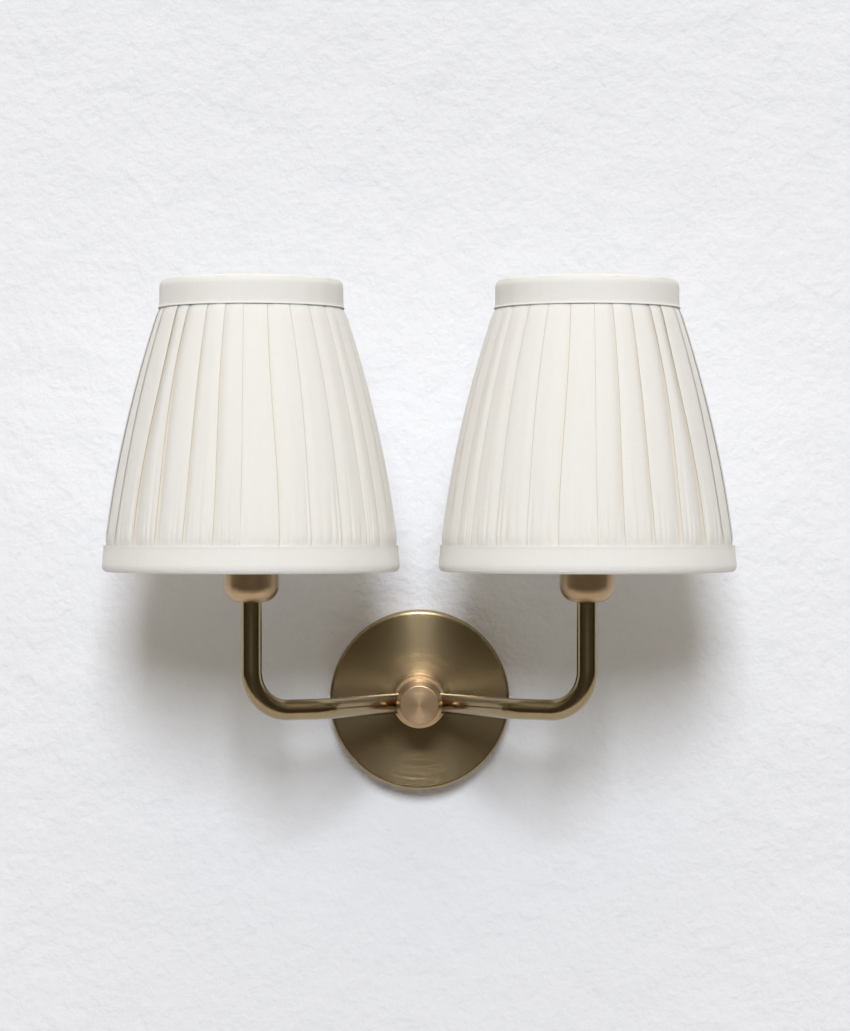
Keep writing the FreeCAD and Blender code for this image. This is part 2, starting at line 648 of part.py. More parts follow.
def make_nipple():
    """Hollow threaded nipple, with the washer and the hexagonal nut behind the rose."""
    bore, rim = "Sizes.thread_bore / 2", "Sizes.thread_diameter / 2"
    low, high = f"{NUT_BACK} - Sizes.nipple_tail", f"{HUB_BACK} + Sizes.nipple_stub"
    nipple = turned("hub_nipple", [(bore, low), (rim, low), (rim, high), (bore, high)])
    face_the_room(nipple)
    keep(nipple, "hub_nipple")
    hole = "Sizes.thread_diameter / 2 + Sizes.screw_clearance"
    edge, under = "Sizes.washer_diameter / 2", f"{ROSE_INSIDE} - Sizes.washer_thickness"
    washer = turned("nipple_washer", [(hole, under), (edge, under), (edge, ROSE_INSIDE),
                                      (hole, ROSE_INSIDE)])
    face_the_room(washer)
    keep(washer, "nipple_washer")
    hexagon = doc.addObject("Part::Prism", "nut_hexagon")
    hexagon.Polygon = 6
    bind(hexagon, Circumradius="Sizes.nut_width / sqrt(3)", Height="Sizes.nut_thickness")
    tapping = doc.addObject("Part::Cylinder", "nut_thread")
    bind(tapping, Radius="Sizes.thread_diameter / 2 + Sizes.thread_play",
         Height="Sizes.nut_thickness")
    nut = doc.addObject("Part::Cut", "nipple_nut")
    nut.Base, nut.Tool = hexagon, tapping
    face_the_room(nut)
    bind(nut, Placement__Base__y=f"-{NUT_BACK}")
    doc.recompute()
    keep(nut, "nipple_nut")


# Arms.

def swept(name, wire, radius):
    """A round rod along a route, its radius tied to the sheet."""
    line = doc.addObject("Part::Feature", name + "_line")
    line.Shape = wire
    first = wire.Edges[0]
    start = first.valueAt(first.FirstParameter)
    ring = doc.addObject("Part::Circle", name + "_ring")
    ring.Placement = FreeCAD.Placement(
        start, FreeCAD.Rotation(FreeCAD.Vector(0, 0, 1), first.tangentAt(first.FirstParameter)))
    bind(ring, Radius=radius)
    rod = doc.addObject("Part::Sweep", name)
    rod.Sections = [ring]
    rod.Spine = (line, [f"Edge{i}" for i in range(1, len(wire.Edges) + 1)])
    rod.Solid = True
    return rod


def make_arm(side):
    """Bent tube from inside the hub to the cup, with a thinner threaded tip through the cup."""
    radii = [size("knee_radius"), size("elbow_radius")]
    line = arm_points(side, size("arm_mouth"))
    tube = swept(f"arm_outside_{side}", route(line, radii), "Sizes.arm_diameter / 2")
    tip = doc.addObject("Part::Cylinder", f"arm_tip_{side}")
    bind(tip, Radius="Sizes.thread_diameter / 2", Height="Sizes.tip_length")
    put_on_lamp(tip, side, "Sizes.cup_height")
    blank = doc.addObject("Part::Fuse", f"arm_blank_{side}")
    blank.Base, blank.Tool = tube, tip
    through = arm_points(side, size("arm_mouth") - size("free_gap"))
    x, y, top = through[-1]
    through[-1] = (x, y, top + size("tip_length") + size("free_gap"))
    bore = swept(f"arm_bore_{side}", route(through, radii), "Sizes.thread_bore / 2")
    arm = doc.addObject("Part::Cut", f"arm_{side}")
    arm.Base, arm.Tool = blank, bore
    doc.recompute()
    keep(arm, f"arm_{side}")


# Cups and lampholders, each on its lamp's own axis.

CUP_FLOOR = "(Sizes.cup_height + Sizes.cup_wall)"
BASE_TOP = f"({CUP_FLOOR} + Sizes.base_depth)"
SKIRT_TOP = f"({BASE_TOP} + Sizes.skirt_rise)"
SHOULDER = f"({BASE_TOP} + Sizes.shoulder_rise + Sizes.shoulder_thickness)"
HOLDER_BORE = "(Sizes.base_diameter / 2 - Sizes.base_wall)"
INSERT_FOOT = f"({CUP_FLOOR} + Sizes.base_slope + Sizes.base_floor)"
INSERT_HOLLOW = f"({INSERT_FOOT} + Sizes.insert_recess)"
INSERT_FLOOR = f"({INSERT_FOOT} + Sizes.insert_floor)"
INSERT_TOP = f"({SKIRT_TOP} - Sizes.skirt_lip - Sizes.part_play)"
SHELL_BORE = "(Sizes.cap_diameter / 2 + Sizes.part_play)"


def make_cup(side):
    """Small bowl that stands on the arm's shoulder."""
    hole = "Sizes.thread_diameter / 2 + Sizes.screw_clearance"
    rim, low, high = "Sizes.cup_diameter / 2", "Sizes.cup_height", "Sizes.cup_height + Sizes.cup_depth"
    inner = f"{rim} - Sizes.cup_wall"
    cup = turned(f"cup_{side}", [(hole, low), (rim, low), (rim, high), (inner, high),
                                 (inner, CUP_FLOOR), (hole, CUP_FLOOR)])
    dress(cup, "Fillet", [(rim, low)], "Sizes.cup_round")
    dress(cup, "Fillet", [(inner, CUP_FLOOR)], "Sizes.cup_round - Sizes.cup_wall")
    put_on_lamp(cup, side)
    keep(cup, f"cup_{side}")


def make_lampholder(side):
    """Brass base and skirt, porcelain insert, screw shell and centre contact."""
    bore, boss = "Sizes.thread_diameter / 2 + Sizes.thread_play", "Sizes.base_boss / 2"
    rim, full = "Sizes.base_diameter / 2", f"{CUP_FLOOR} + Sizes.base_slope"
    base = turned(f"holder_base_{side}", [
        (bore, CUP_FLOOR), (boss, CUP_FLOOR), (rim, full), (rim, BASE_TOP),
        (HOLDER_BORE, BASE_TOP), (HOLDER_BORE, INSERT_FOOT), (bore, INSERT_FOOT)])
    over, out = f"{rim} + Sizes.part_play", "Sizes.skirt_diameter / 2"
    flange, mouth = "Sizes.shoulder_diameter / 2", "Sizes.skirt_mouth / 2"
    lip, step = f"{SKIRT_TOP} - Sizes.skirt_lip", f"{BASE_TOP} + Sizes.part_play"
    under = f"{SHOULDER} - Sizes.shoulder_thickness"
    skirt = turned(f"holder_skirt_{side}", [
        (over, f"{BASE_TOP} - Sizes.skirt_drop"), (out, f"{BASE_TOP} - Sizes.skirt_drop"),
        (out, under), (flange, under), (flange, SHOULDER), (out, SHOULDER), (out, SKIRT_TOP),
        (mouth, SKIRT_TOP), (mouth, lip), (HOLDER_BORE, lip), (HOLDER_BORE, step), (over, step)])
    wide, outside = f"{HOLDER_BORE} - Sizes.part_play", f"{SHELL_BORE} + Sizes.shell_wall"
    well, recess = f"{outside} + Sizes.thread_play", f"{bore} + Sizes.free_gap"
    insert = turned(f"holder_insert_{side}", [
        ("0", INSERT_HOLLOW), (recess, INSERT_HOLLOW), (recess, INSERT_FOOT), (wide, INSERT_FOOT),
        (wide, INSERT_TOP), (well, INSERT_TOP), (well, INSERT_FLOOR), ("0", INSERT_FLOOR)])
    shell_low = f"{INSERT_TOP} - Sizes.shell_depth"
    shell = turned(f"screw_shell_{side}", [(SHELL_BORE, shell_low), (outside, shell_low),
                                           (outside, INSERT_TOP), (SHELL_BORE, INSERT_TOP)])
    for item in (base, skirt, insert, shell):
        put_on_lamp(item, side)
        keep(item, item.Label)
    leaf = doc.addObject("Part::Box", f"leaf_{side}")
    bind(leaf, Length="Sizes.contact_length", Width="Sizes.contact_width",
         Height="Sizes.contact_thickness")
    lamp_x = f"{SIDES[side]} * Sizes.lamp_spacing / 2"
    bind(leaf, Placement__Base__x=f"{lamp_x} - Sizes.contact_length / 2",
         Placement__Base__y="-Sizes.lamp_reach - Sizes.contact_width / 2",
         Placement__Base__z=INSERT_FLOOR)
    pip = doc.addObject("Part::Cylinder", f"pip_{side}")
    bind(pip, Radius="Sizes.pip_diameter / 2", Height="Sizes.contact_thickness + Sizes.pip_height")
    put_on_lamp(pip, side, INSERT_FLOOR)
    contact = doc.addObject("Part::Fuse", f"centre_contact_{side}")
    contact.Base, contact.Tool = leaf, pip
    doc.recompute()
    keep(contact, f"centre_contact_{side}")


# Bulb.

BUTTON_FOOT = f"({INSERT_FLOOR} + Sizes.contact_thickness + Sizes.pip_height + Sizes.part_play)"
CAP_FOOT = f"({BUTTON_FOOT} + Sizes.button_height + Sizes.foot_height)"
CAP_TOP = f"({CAP_FOOT} + Sizes.cap_length)"


def make_bulb(side):
    """Contact and insulated foot, screw cap, and hollow candle-shaped glass."""
    button, ledge = "Sizes.button_diameter / 2", f"{BUTTON_FOOT} + Sizes.button_height"
    foot = "Sizes.foot_diameter / 2"
    contact = turned(f"bulb_contact_{side}", [("0", BUTTON_FOOT), (button, BUTTON_FOOT),
                                              (button, ledge), (foot, CAP_FOOT), ("0", CAP_FOOT)])
    thread, neck = "Sizes.cap_diameter / 2", "Sizes.cap_neck / 2"
    band = f"{CAP_TOP} - Sizes.cap_flare"
    cap = turned(f"bulb_cap_{side}", [
        ("0", CAP_FOOT), (foot, CAP_FOOT), (thread, f"{CAP_FOOT} + Sizes.cap_bevel"),
        (thread, f"{band} - Sizes.cap_bevel"), (neck, band), (neck, CAP_TOP), ("0", CAP_TOP)])
    for item in (contact, cap):
        put_on_lamp(item, side)
        keep(item, item.Label)
    outside, inside = glass_line(0), glass_line(size("glass_wall"))
    foot_ring = Part.LineSegment(inside[0].StartPoint, outside[0].StartPoint)
    tip_wall = Part.LineSegment(outside[-1].EndPoint, inside[-1].EndPoint)
    edges = [curve.toShape() for curve in (*outside, tip_wall, *inside[::-1], foot_ring)]
    outline = Part.Face(Part.Wire(Part.__sortEdges__(edges)))
    glass = outline.revolve(FreeCAD.Vector(), FreeCAD.Vector(0, 0, 1), 360)
    lamp_piece(f"bulb_glass_{side}", glass, side)


def glass_line(inset):
    """Three arcs in the XZ plane that run on smoothly: neck to belly, belly to nose, and the nose."""
    neck, belly = size("bulb_neck") / 2 - inset, size("bulb_diameter") / 2 - inset
    nose = size("bulb_nose") - inset
    foot, wide = number(CAP_TOP), number(CAP_TOP) + size("bulb_belly")
    top = number(BUTTON_FOOT) + size("bulb_length") - size("bulb_nose")
    out, down, up = belly - neck, wide - foot, top - wide
    lower = (out ** 2 + down ** 2) / (2 * out)
    upper = (belly ** 2 + up ** 2 - nose ** 2) / (2 * (belly - nose))
    start = -math.asin(down / lower)
    turn = math.atan2(up, upper - belly)
    return [level_arc(belly - lower, wide, lower, start, 0),
            level_arc(belly - upper, wide, upper, 0, turn),
            level_arc(0, top, nose, turn, math.pi / 2)]


def level_arc(x, z, radius, first, last):
    """An arc in the XZ plane about (x, z), from one angle above the X direction to another."""
    spots = [FreeCAD.Vector(x + radius * math.cos(turn), 0, z + radius * math.sin(turn))
             for turn in (first, (first + last) / 2, last)]
    return Part.Arc(*spots)


# Shade. The outline bows out from the straight line between its top and bottom.

SHADE_TOP = "(Sizes.shade_bottom + Sizes.shade_height)"
TOP_BAND_LOW = f"({SHADE_TOP} - Sizes.band_height)"
LAYER = "(Sizes.band_thickness + Sizes.cloth_play)"
FRONT = 90  # degrees from +X to the direction in which the first spoke lies
PLEAT_WAVES = ((0.6, 2.4), (0.4, 5.3))  # the unevenness, as shares that each swing from pleat to pleat


def outline_radius(height):
    """The shade's outside radius at a height: a straight taper plus a bow that is widest midway."""
    low, high = size("shade_bottom"), number(TOP_BAND_LOW)
    share = (height - low) / (high - low)
    share = min(max(share, 0.0), 1.0)
    wide, narrow = size("shade_bottom_diameter") / 2, size("shade_top_diameter") / 2
    return wide + (narrow - wide) * share + 4 * size("shade_bulge") * share * (1 - share)


def skin_levels():
    """(height, fold radius, pleat depth) from the bottom up: flattened under the bands, full between."""
    bottom, top, band = size("shade_bottom"), number(SHADE_TOP), size("band_height")
    layer, flat, full = number(LAYER), size("pleat_flat"), size("pleat_depth")
    ease, play, steps = size("pleat_ease"), size("cloth_play"), int(size("bow_steps"))
    levels = []
    for height in (bottom + layer, bottom + band + play):
        levels.append((height, outline_radius(height) - layer, flat))
    start, end = bottom + band + ease, top - band - ease
    for i in range(steps + 1):
        height = start + (end - start) * i / steps
        levels.append((height, outline_radius(height), full))
    for height in (top - band - play, top - layer):
        levels.append((height, outline_radius(height) - layer, flat))
    return levels


def pleat_angles():
    """Where each fold lies round the shade, in degrees; the pleats differ a little in width."""
    uneven = size("pleat_uneven_ratio")
    widths = [1 + uneven * sum(share * math.sin(turn * i) for share, turn in PLEAT_WAVES)
              for i in range(int(size("pleat_count")))]
    total = sum(widths)
    angles = [0.0]
    for width in widths:
        angles.append(angles[-1] + 360.0 * width / total)
    return angles


def pleated_ring(height, radius, depth, sign):
    """One level of the skin's outside: each pleat runs inward from its fold and steps out again."""
    angles = pleat_angles()
    spots = []
    for start, end in zip(angles, angles[1:]):
        for angle, reach in ((start, radius), (end - size("pleat_step_angle"), radius - depth)):
            turn = math.radians(angle)
            spots.append(FreeCAD.Vector(sign * reach * math.cos(turn), -reach * math.sin(turn), height))
    return Part.makePolygon(spots + spots[:1])


def make_skin(side):
    """Knife-pleated cloth on its lining: a closed wall, open at the top and bottom."""
    levels = skin_levels()
    rings = [pleated_ring(*level, SIDES[side]) for level in levels]
    outside = Part.makeLoft(rings, True, True)
    thick = size("skin_thickness")
    inner = [FreeCAD.Vector(radius - thick, 0, height) for height, radius, depth in levels]
    foot, head = inner[0], inner[-1]
    below = FreeCAD.Vector(foot.x, 0, foot.z - 1)
    above = FreeCAD.Vector(head.x, 0, head.z + 1)
    outline = [FreeCAD.Vector(0, 0, below.z), below, *inner, above, FreeCAD.Vector(0, 0, above.z)]
    core = Part.Face(Part.makePolygon(outline + outline[:1]))
    core = core.revolve(FreeCAD.Vector(), FreeCAD.Vector(0, 0, 1), 360)
    lamp_piece(f"shade_skin_{side}", outside.cut(core), side)


def ring_places():
    """(radius, height) of the middle of the top wire ring and of the bottom one."""
    wire, layer = size("ring_wire") / 2, number(LAYER)
    inset = layer + size("skin_thickness") + size("cloth_play") + wire
    top, bottom = number(SHADE_TOP) - layer - wire, size("shade_bottom") + layer + wire
    return (outline_radius(top) - inset, top), (outline_radius(bottom) - inset, bottom)


def make_bands(side):
    """Bound cloth folded over each wire ring: an outer wall, a rounded fold and a short turn-in."""
    thin, turn, play = size("band_thickness"), size("band_turn"), size("cloth_play")
    wire = size("ring_wire") / 2
    tall = size("band_height")
    for name, place, way in zip(("top", "bottom"), ring_places(), (-1, 1)):
        ring, height = place
        edge = height - way * (wire + play + thin)
        inner = ring - wire - play
        outer_fold = outline_radius(edge)
        outer_end = outline_radius(edge + way * tall)
        corners = [
            (outer_end, edge + way * tall), (outer_fold, edge), (inner - thin, edge),
            (inner - thin, edge + way * turn), (inner, edge + way * turn),
            (inner, edge + way * thin), (outer_fold - thin, edge + way * thin),
            (outer_end - thin, edge + way * tall)]
        spots = [FreeCAD.Vector(x, 0, z) for x, z in corners]
        wall = Part.Face(Part.makePolygon(spots + spots[:1]))
        band = wall.revolve(FreeCAD.Vector(), FreeCAD.Vector(0, 0, 1), 360)
        fold = [e for e in band.Edges if isinstance(e.Curve, Part.Circle)
                and abs(e.Curve.Center.z - edge) < SAME]
        band = band.makeFillet(size("band_edge"), fold)
        lamp_piece(f"shade_{name}_band_{side}", band, side)


def make_frame(side):
    """Two wire rings and the bowed ribs between them, each rib fitted to the rings' round wire."""
    (top_r, top_z), (low_r, low_z) = ring_places()
    wire, rib = size("ring_wire") / 2, size("rib_wire") / 2
    top_ring, low_ring = ring_wire(top_r, top_z, wire), ring_wire(low_r, low_z, wire)
    lamp_piece(f"shade_top_ring_{side}", top_ring, side)
    lamp_piece(f"shade_bottom_ring_{side}", low_ring, side)
    bend = number(TOP_BAND_LOW) - size("rib_wire")
    middle = (bend + low_z) / 2
    inset = size("skin_thickness") + size("cloth_play") + rib
    waist = outline_radius(middle) - inset
    points = [(top_r, 0, top_z), (top_r, 0, bend), (waist, 0, middle), (low_r, 0, low_z)]
    corners = [FreeCAD.Vector(*p) for p in points]
    runs = [after - before for before, after in zip(corners, corners[1:])]
    turns = [one.getAngle(two) for one, two in zip(runs, runs[1:])]
    reaches = [runs[0].Length / 2, runs[1].Length / 3]
    line = route(points, [reach / math.tan(turn / 2) for reach, turn in zip(reaches, turns)])
    blank = rod_along(line, rib).cut(top_ring).cut(low_ring)
    spokes = int(size("spoke_count"))
    ribs_each = int(size("ribs_per_spoke"))
    half_step = 180.0 / (spokes * ribs_each)
    ribs = about_z(blank, spokes * ribs_each, FRONT + half_step)
    lamp_piece(f"shade_ribs_{side}", Part.makeCompound(ribs), side)


def make_fitter(side):
    """Flat ring on the lampholder's shoulder, with bent spokes that stand on the bottom wire ring."""
    thick, low = size("fitter_thickness"), number(SHOULDER) + size("seat_play")
    hole = size("skirt_diameter") / 2 + size("fitter_play")
    edge = size("fitter_diameter") / 2
    up = FreeCAD.Vector(0, 0, 1)
    washer = Part.makeCylinder(edge, thick, FreeCAD.Vector(0, 0, low), up)
    washer = washer.cut(Part.makeCylinder(hole, thick, FreeCAD.Vector(0, 0, low), up))
    ring, height = ring_places()[1]
    spoke, wire = size("spoke_diameter") / 2, size("ring_wire") / 2
    start = size("nut_ring_diameter") / 2 + size("seat_play")
    level = low + thick / 2
    points = [(start, 0, level), (edge + size("spoke_level"), 0, level),
              (ring, 0, height + wire + spoke)]
    rod = rod_along(route(points, [size("spoke_bend")]), spoke).cut(ring_wire(ring, height, wire))
    fitter = washer.multiFuse(about_z(rod, int(size("spoke_count")), FRONT)).removeSplitter()
    lamp_piece(f"shade_fitter_{side}", fitter, side)


def make_shade_nut(side):
    """Ring nut that holds the fitter on the shoulder, with grip grooves round its edge."""
    bore = "Sizes.skirt_diameter / 2 + Sizes.part_play"
    rim = "Sizes.nut_ring_diameter / 2"
    low = f"{SHOULDER} + 2 * Sizes.seat_play + Sizes.fitter_thickness"
    high = f"{low} + Sizes.nut_ring_height"
    nut = turned(f"shade_nut_{side}", [(bore, low), (rim, low), (rim, high), (bore, high)])
    outline = new_sketch(nut, "XY_Plane", f"grip_outline_{side}")
    draw_circle(outline, rim, "0", "Sizes.grip_diameter")
    groove = nut.newObject("PartDesign::Pocket", f"grip_{side}")
    groove.Profile = (outline, [""])
    groove.Type = 1
    groove.SideType = "Symmetric"
    doc.recompute()
    around = nut.newObject("PartDesign::PolarPattern", f"grips_{side}")
    around.Originals = [groove]
    around.Axis = (outline, ["N_Axis"])
    around.Angle = 360
    bind(around, Occurrences="Sizes.grip_count")
    nut.Tip = around
    doc.recompute()
    put_on_lamp(nut, side)
    keep(nut, f"shade_nut_{side}")


# Inner flex, from the terminal block through the nipple, the hub and the arm to the lampholder.

def make_flex(side):
    """Round flex held along its whole way, on the arm's own line once it is in the arm."""
    sign = SIDES[side]
    radius = size("flex_diameter") / 2
    beside = sign * size("flex_spacing") / 2
    behind = size("plate_thickness") + radius + size("free_gap")
    pole = sign * size("pole_pitch")
    depth = size("plate_thickness") + size("block_thickness") / 2
    block_low = size("block_lift") - size("block_height") / 2
    splay = math.tan(math.radians(size("arm_splay_angle")))
    root = size("rose_depth") + size("arm_root")
    to_cup = arm_points(side, 0)
    x, y = to_cup[-1][:2]
    points = [(pole, -depth, block_low + size("flex_entry")), (pole, -depth, block_low / 2),
              (beside, -behind, 0), (beside, -(root + abs(beside) * splay), 0),
              to_cup[1], to_cup[2], (x, y, number(INSERT_HOLLOW))]
    radii = [size("flex_drop"), size("flex_bend"), size("flex_turn"), size("knee_radius"),
             size("elbow_radius")]
    flex = swept(f"inner_flex_{side}", route(points, radii), "Sizes.flex_diameter / 2")
    doc.recompute()
    keep(flex, f"inner_flex_{side}")


make_bracket()
make_rose()
make_rose_screws()
make_bushing()
make_earth_terminal()
make_terminal_block()
make_block_screws()
make_collar()
make_hub()
make_nipple()
for side in SIDES:
    make_arm(side)
    make_cup(side)
    make_lampholder(side)
    make_bulb(side)
    make_skin(side)
    make_bands(side)
    make_frame(side)
    make_fitter(side)
    make_shade_nut(side)
    make_flex(side)
doc.recompute()

# Nothing is written unless every object and every sub-part is sound.

for item in doc.Objects:
    if "Invalid" in item.State or "Error" in item.State:
        raise RuntimeError(f"{item.Label} did not recompute: {item.State}")
for piece in pieces:
    if piece.Shape.isNull() or not piece.Shape.isValid():
        raise RuntimeError(f"{piece.Label} has no valid shape")

os.makedirs("parts", exist_ok=True)
for piece in pieces:
    piece.Shape.exportStep(f"parts/{piece.Label}.step")
print(len(pieces), "sub-parts written")
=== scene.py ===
# %% [markdown]
# # A brass wall light with two pleated shades
#
# The solids of this lamp come from a CAD model: a round rose on the wall, a turned hub, two bent arms
# and, on each arm, a cup, a lampholder, a bulb and a cloth shade. This notebook dresses them. Metal and
# glass keep their solids and get a finish. Cloth is made again here, as thin folded surfaces, because a
# solid can't show how cloth gathers. All lengths are in metres.

# %% Load the solids
import math

import bpy
import numpy as np
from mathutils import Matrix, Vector


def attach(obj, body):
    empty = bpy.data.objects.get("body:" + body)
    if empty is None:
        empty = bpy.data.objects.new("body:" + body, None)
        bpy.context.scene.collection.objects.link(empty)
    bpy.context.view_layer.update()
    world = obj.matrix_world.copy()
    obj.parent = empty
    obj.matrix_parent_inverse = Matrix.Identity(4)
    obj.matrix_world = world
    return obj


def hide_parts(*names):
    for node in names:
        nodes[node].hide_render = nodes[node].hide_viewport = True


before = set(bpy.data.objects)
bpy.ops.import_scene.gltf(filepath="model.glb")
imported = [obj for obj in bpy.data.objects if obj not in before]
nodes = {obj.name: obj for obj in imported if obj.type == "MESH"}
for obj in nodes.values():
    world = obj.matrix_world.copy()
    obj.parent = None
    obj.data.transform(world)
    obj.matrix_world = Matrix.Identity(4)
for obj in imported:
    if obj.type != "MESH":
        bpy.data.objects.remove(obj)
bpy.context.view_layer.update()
scene = bpy.context.scene
scene.view_settings.view_transform = "Standard"

# %% [markdown]
# ## The camera
#
# A long lens far away keeps the two shades nearly free of perspective, as a product picture does. The
# eye is level and at half the height of the picture, so the tops and the bottoms of the shades lie
# almost edge on. The lens is worked out from the height that the picture has in pixels.

# %% Place the camera
EYE = (0.003, -1.864, 0.1025)
PICTURE_HEIGHT = 1031
FOCAL_PIXELS = 3330
SENSOR = 24.0

camera_data = bpy.data.cameras.new("camera")
camera_data.sensor_fit = "VERTICAL"
camera_data.sensor_height = SENSOR
camera_data.lens = SENSOR * FOCAL_PIXELS / PICTURE_HEIGHT
camera = bpy.data.objects.new("camera", camera_data)
camera.location = EYE
camera.rotation_euler = (math.radians(90), 0, 0)
scene.collection.objects.link(camera)
scene.camera = camera
print("lens", round(camera_data.lens, 1), "mm")

# %% [markdown]
# ## Shader maths
#
# A pattern such as a weave is a formula of the place on the surface. Blender writes a formula as a chain
# of Math nodes, which is slow to read. Here a small class wraps one output socket and turns +, - and *
# into those nodes, so the formulas below look like formulas.

# %% A socket that can be added and multiplied
class Signal:
    """One output socket of a node. A sum or product with it adds a Math node."""

    def __init__(self, nodes_of, socket):
        self.nodes_of = nodes_of
        self.socket = socket

    def math(self, operation, *values):
        inputs = dict(enumerate(values))
        return self.nodes_of.add("ShaderNodeMath", {"operation": operation}, inputs)

    def __add__(self, other):
        return self.math("ADD", self, other)

    def __sub__(self, other):
        return self.math("SUBTRACT", self, other)

    def __rsub__(self, other):
        return self.math("SUBTRACT", other, self)

    def __mul__(self, other):
        return self.math("MULTIPLY", self, other)

    __radd__ = __add__
    __rmul__ = __mul__

    def sine(self):
        return self.math("SINE", self)

    def root(self):
        return self.math("SQRT", self)

    def clamped(self):
        return self.nodes_of.add("ShaderNodeClamp", {}, {"Value": self})


# %% A node tree that is filled in one call per node
class Nodes:
    """The nodes of one material or world."""

    def __init__(self, owner):
        owner.use_nodes = True
        self.tree = owner.node_tree
        self.place = None

    def add(self, kind, settings, inputs, output=0):
        """Adds a node: its own settings first, then the value or link of each named socket."""
        node = self.tree.nodes.new(kind)
        for name, value in settings.items():
            if name == "stops":
                self.set_stops(node.color_ramp, value)
            else:
                setattr(node, name, value)
        for name, value in inputs.items():
            self.plug(node.inputs[name], value)
        return Signal(self, node.outputs[output])

    def set_stops(self, ramp, stops):
        """Gives a colour ramp its (position, colour) stops."""
        while len(ramp.elements) < len(stops):
            ramp.elements.new(1.0)
        for element, (position, colour) in zip(ramp.elements, stops):
            element.position = position
            element.color = (*colour, 1.0)

    def plug(self, socket, value):
        """Links a signal to a socket, or sets the socket's own value."""
        if isinstance(value, Signal):
            self.tree.links.new(value.socket, socket)
        elif socket.type == "RGBA":
            socket.default_value = (*value, 1.0)
        else:
            socket.default_value = value

    def object_place(self):
        """The place on the piece in metres, as one vector."""
        if self.place is None:
            self.place = self.add("ShaderNodeTexCoord", {}, {}, "Object")
        return self.place

    def parts_of(self, vector):
        """The three numbers of a vector."""
        split = self.add("ShaderNodeSeparateXYZ", {}, {"Vector": vector}).socket.node
        return [Signal(self, socket) for socket in split.outputs]

    def noise(self, vector, scale, detail=2.0, roughness=0.5):
        """Cloudy noise from 0 to 1, whose lumps are about 1 / scale across."""
        values = {"Vector": vector, "Scale": scale, "Detail": detail, "Roughness": roughness}
        return self.add("ShaderNodeTexNoise", {}, values)

    def vector(self, x, y, z):
        return self.add("ShaderNodeCombineXYZ", {}, {"X": x, "Y": y, "Z": z})

    def vectors(self, operation, *values):
        """A sum, cross product or the like of vectors."""
        return self.add("ShaderNodeVectorMath", {"operation": operation}, dict(enumerate(values)))

    def mix(self, factor, first, second):
        """A colour between two colours."""
        node = self.tree.nodes.new("ShaderNodeMix")
        node.data_type = "RGBA"
        colour_sockets = [s for s in node.inputs if s.type == "RGBA"]
        for socket, value in zip([node.inputs[0], *colour_sockets], (factor, first, second)):
            self.plug(socket, value)
        return Signal(self, [s for s in node.outputs if s.type == "RGBA"][0])


# %% A material with its surface values and its bump
class Finish(Nodes):
    """A material named for what it covers, with plain values on its surface shader."""

    def __init__(self, name, **values):
        self.material = bpy.data.materials.new(name)
        super().__init__(self.material)
        self.surface = self.tree.nodes["Principled BSDF"]
        self.set(**values)

    def set(self, **values):
        """Sets or links sockets of the surface shader: base_color stands for Base Color."""
        for name, value in values.items():
            self.plug(self.surface.inputs[name.replace("_", " ").title()], value)

    def bump(self, height, depth):
        """Raises the surface by height times depth metres."""
        normal = self.add("ShaderNodeBump", {}, {"Height": height, "Distance": depth, "Strength": 1.0})
        self.set(normal=normal)

    def tilt(self, around, amount):
        """Tilts the surface as marks that run round it do.

        The normal gets amount times a unit vector along (normal x around). around is a direction on
        the piece, so it is first turned with the piece."""
        normal = self.add("ShaderNodeNewGeometry", {}, {}, "Normal")
        to_world = {"vector_type": "VECTOR", "convert_from": "OBJECT", "convert_to": "WORLD"}
        turned = self.add("ShaderNodeVectorTransform", to_world, {"Vector": around})
        across = self.vectors("NORMALIZE", self.vectors("CROSS_PRODUCT", normal, turned))
        slope = self.add("ShaderNodeVectorMath", {"operation": "SCALE"}, {0: across, "Scale": amount})
        self.set(normal=self.vectors("NORMALIZE", self.vectors("ADD", normal, slope)))


# %% [markdown]
# ## The wall behind and the floor below
#
# The lamp hangs on a pale plaster wall, rolled and a little uneven. The wall is a flat ring: it is open
# behind the rose, so that daylight reaches the bracket when the lamp is seen from behind, and its back
# side is see-through for the same reason. The floor is far below and pale.

# %% Turn a grid of points into a mesh
def sheet_mesh(name, points, around=False, closed=False, uv=None, inside_out=False):
    """A mesh of quads from an array of rows by columns of points.

    around joins the last column to the first, and closed joins the last row to the first. uv has one
    more column or row where the grid is joined, so that the pattern runs on to its end."""
    rows, columns = points.shape[:2]
    spots = np.arange(rows * columns).reshape(rows, columns)
    if around:
        spots = np.concatenate([spots, spots[:, :1]], axis=1)
    if closed:
        spots = np.concatenate([spots, spots[:1]], axis=0)
    quads = corners_of(spots)
    quads = quads[:, ::-1] if inside_out else quads
    mesh = bpy.data.meshes.new(name)
    mesh.from_pydata(points.reshape(-1, 3).tolist(), [], quads.tolist())
    if uv is not None:
        corners = corners_of(np.arange(uv.shape[0] * uv.shape[1]).reshape(uv.shape[:2]))
        corners = corners[:, ::-1] if inside_out else corners
        layer = mesh.uv_layers.new(name="cloth")
        layer.data.foreach_set("uv", uv.reshape(-1, 2)[corners.ravel()].ravel())
    mesh.shade_smooth()
    piece = bpy.data.objects.new(name, mesh)
    scene.collection.objects.link(piece)
    return piece


def corners_of(spots):
    """The four corners of each quad between neighbouring rows and columns."""
    quads = [spots[:-1, :-1], spots[:-1, 1:], spots[1:, 1:], spots[1:, :-1]]
    return np.stack(quads, axis=-1).reshape(-1, 4)


# %% Plaster wall
WALL_Y = 0.0004
WALL_HOLE = 0.0485
WALL_REACH = 6.0
WALL_RINGS = 12
WALL_SPOKES = 96
PLASTER_RELIEF = 0.0011

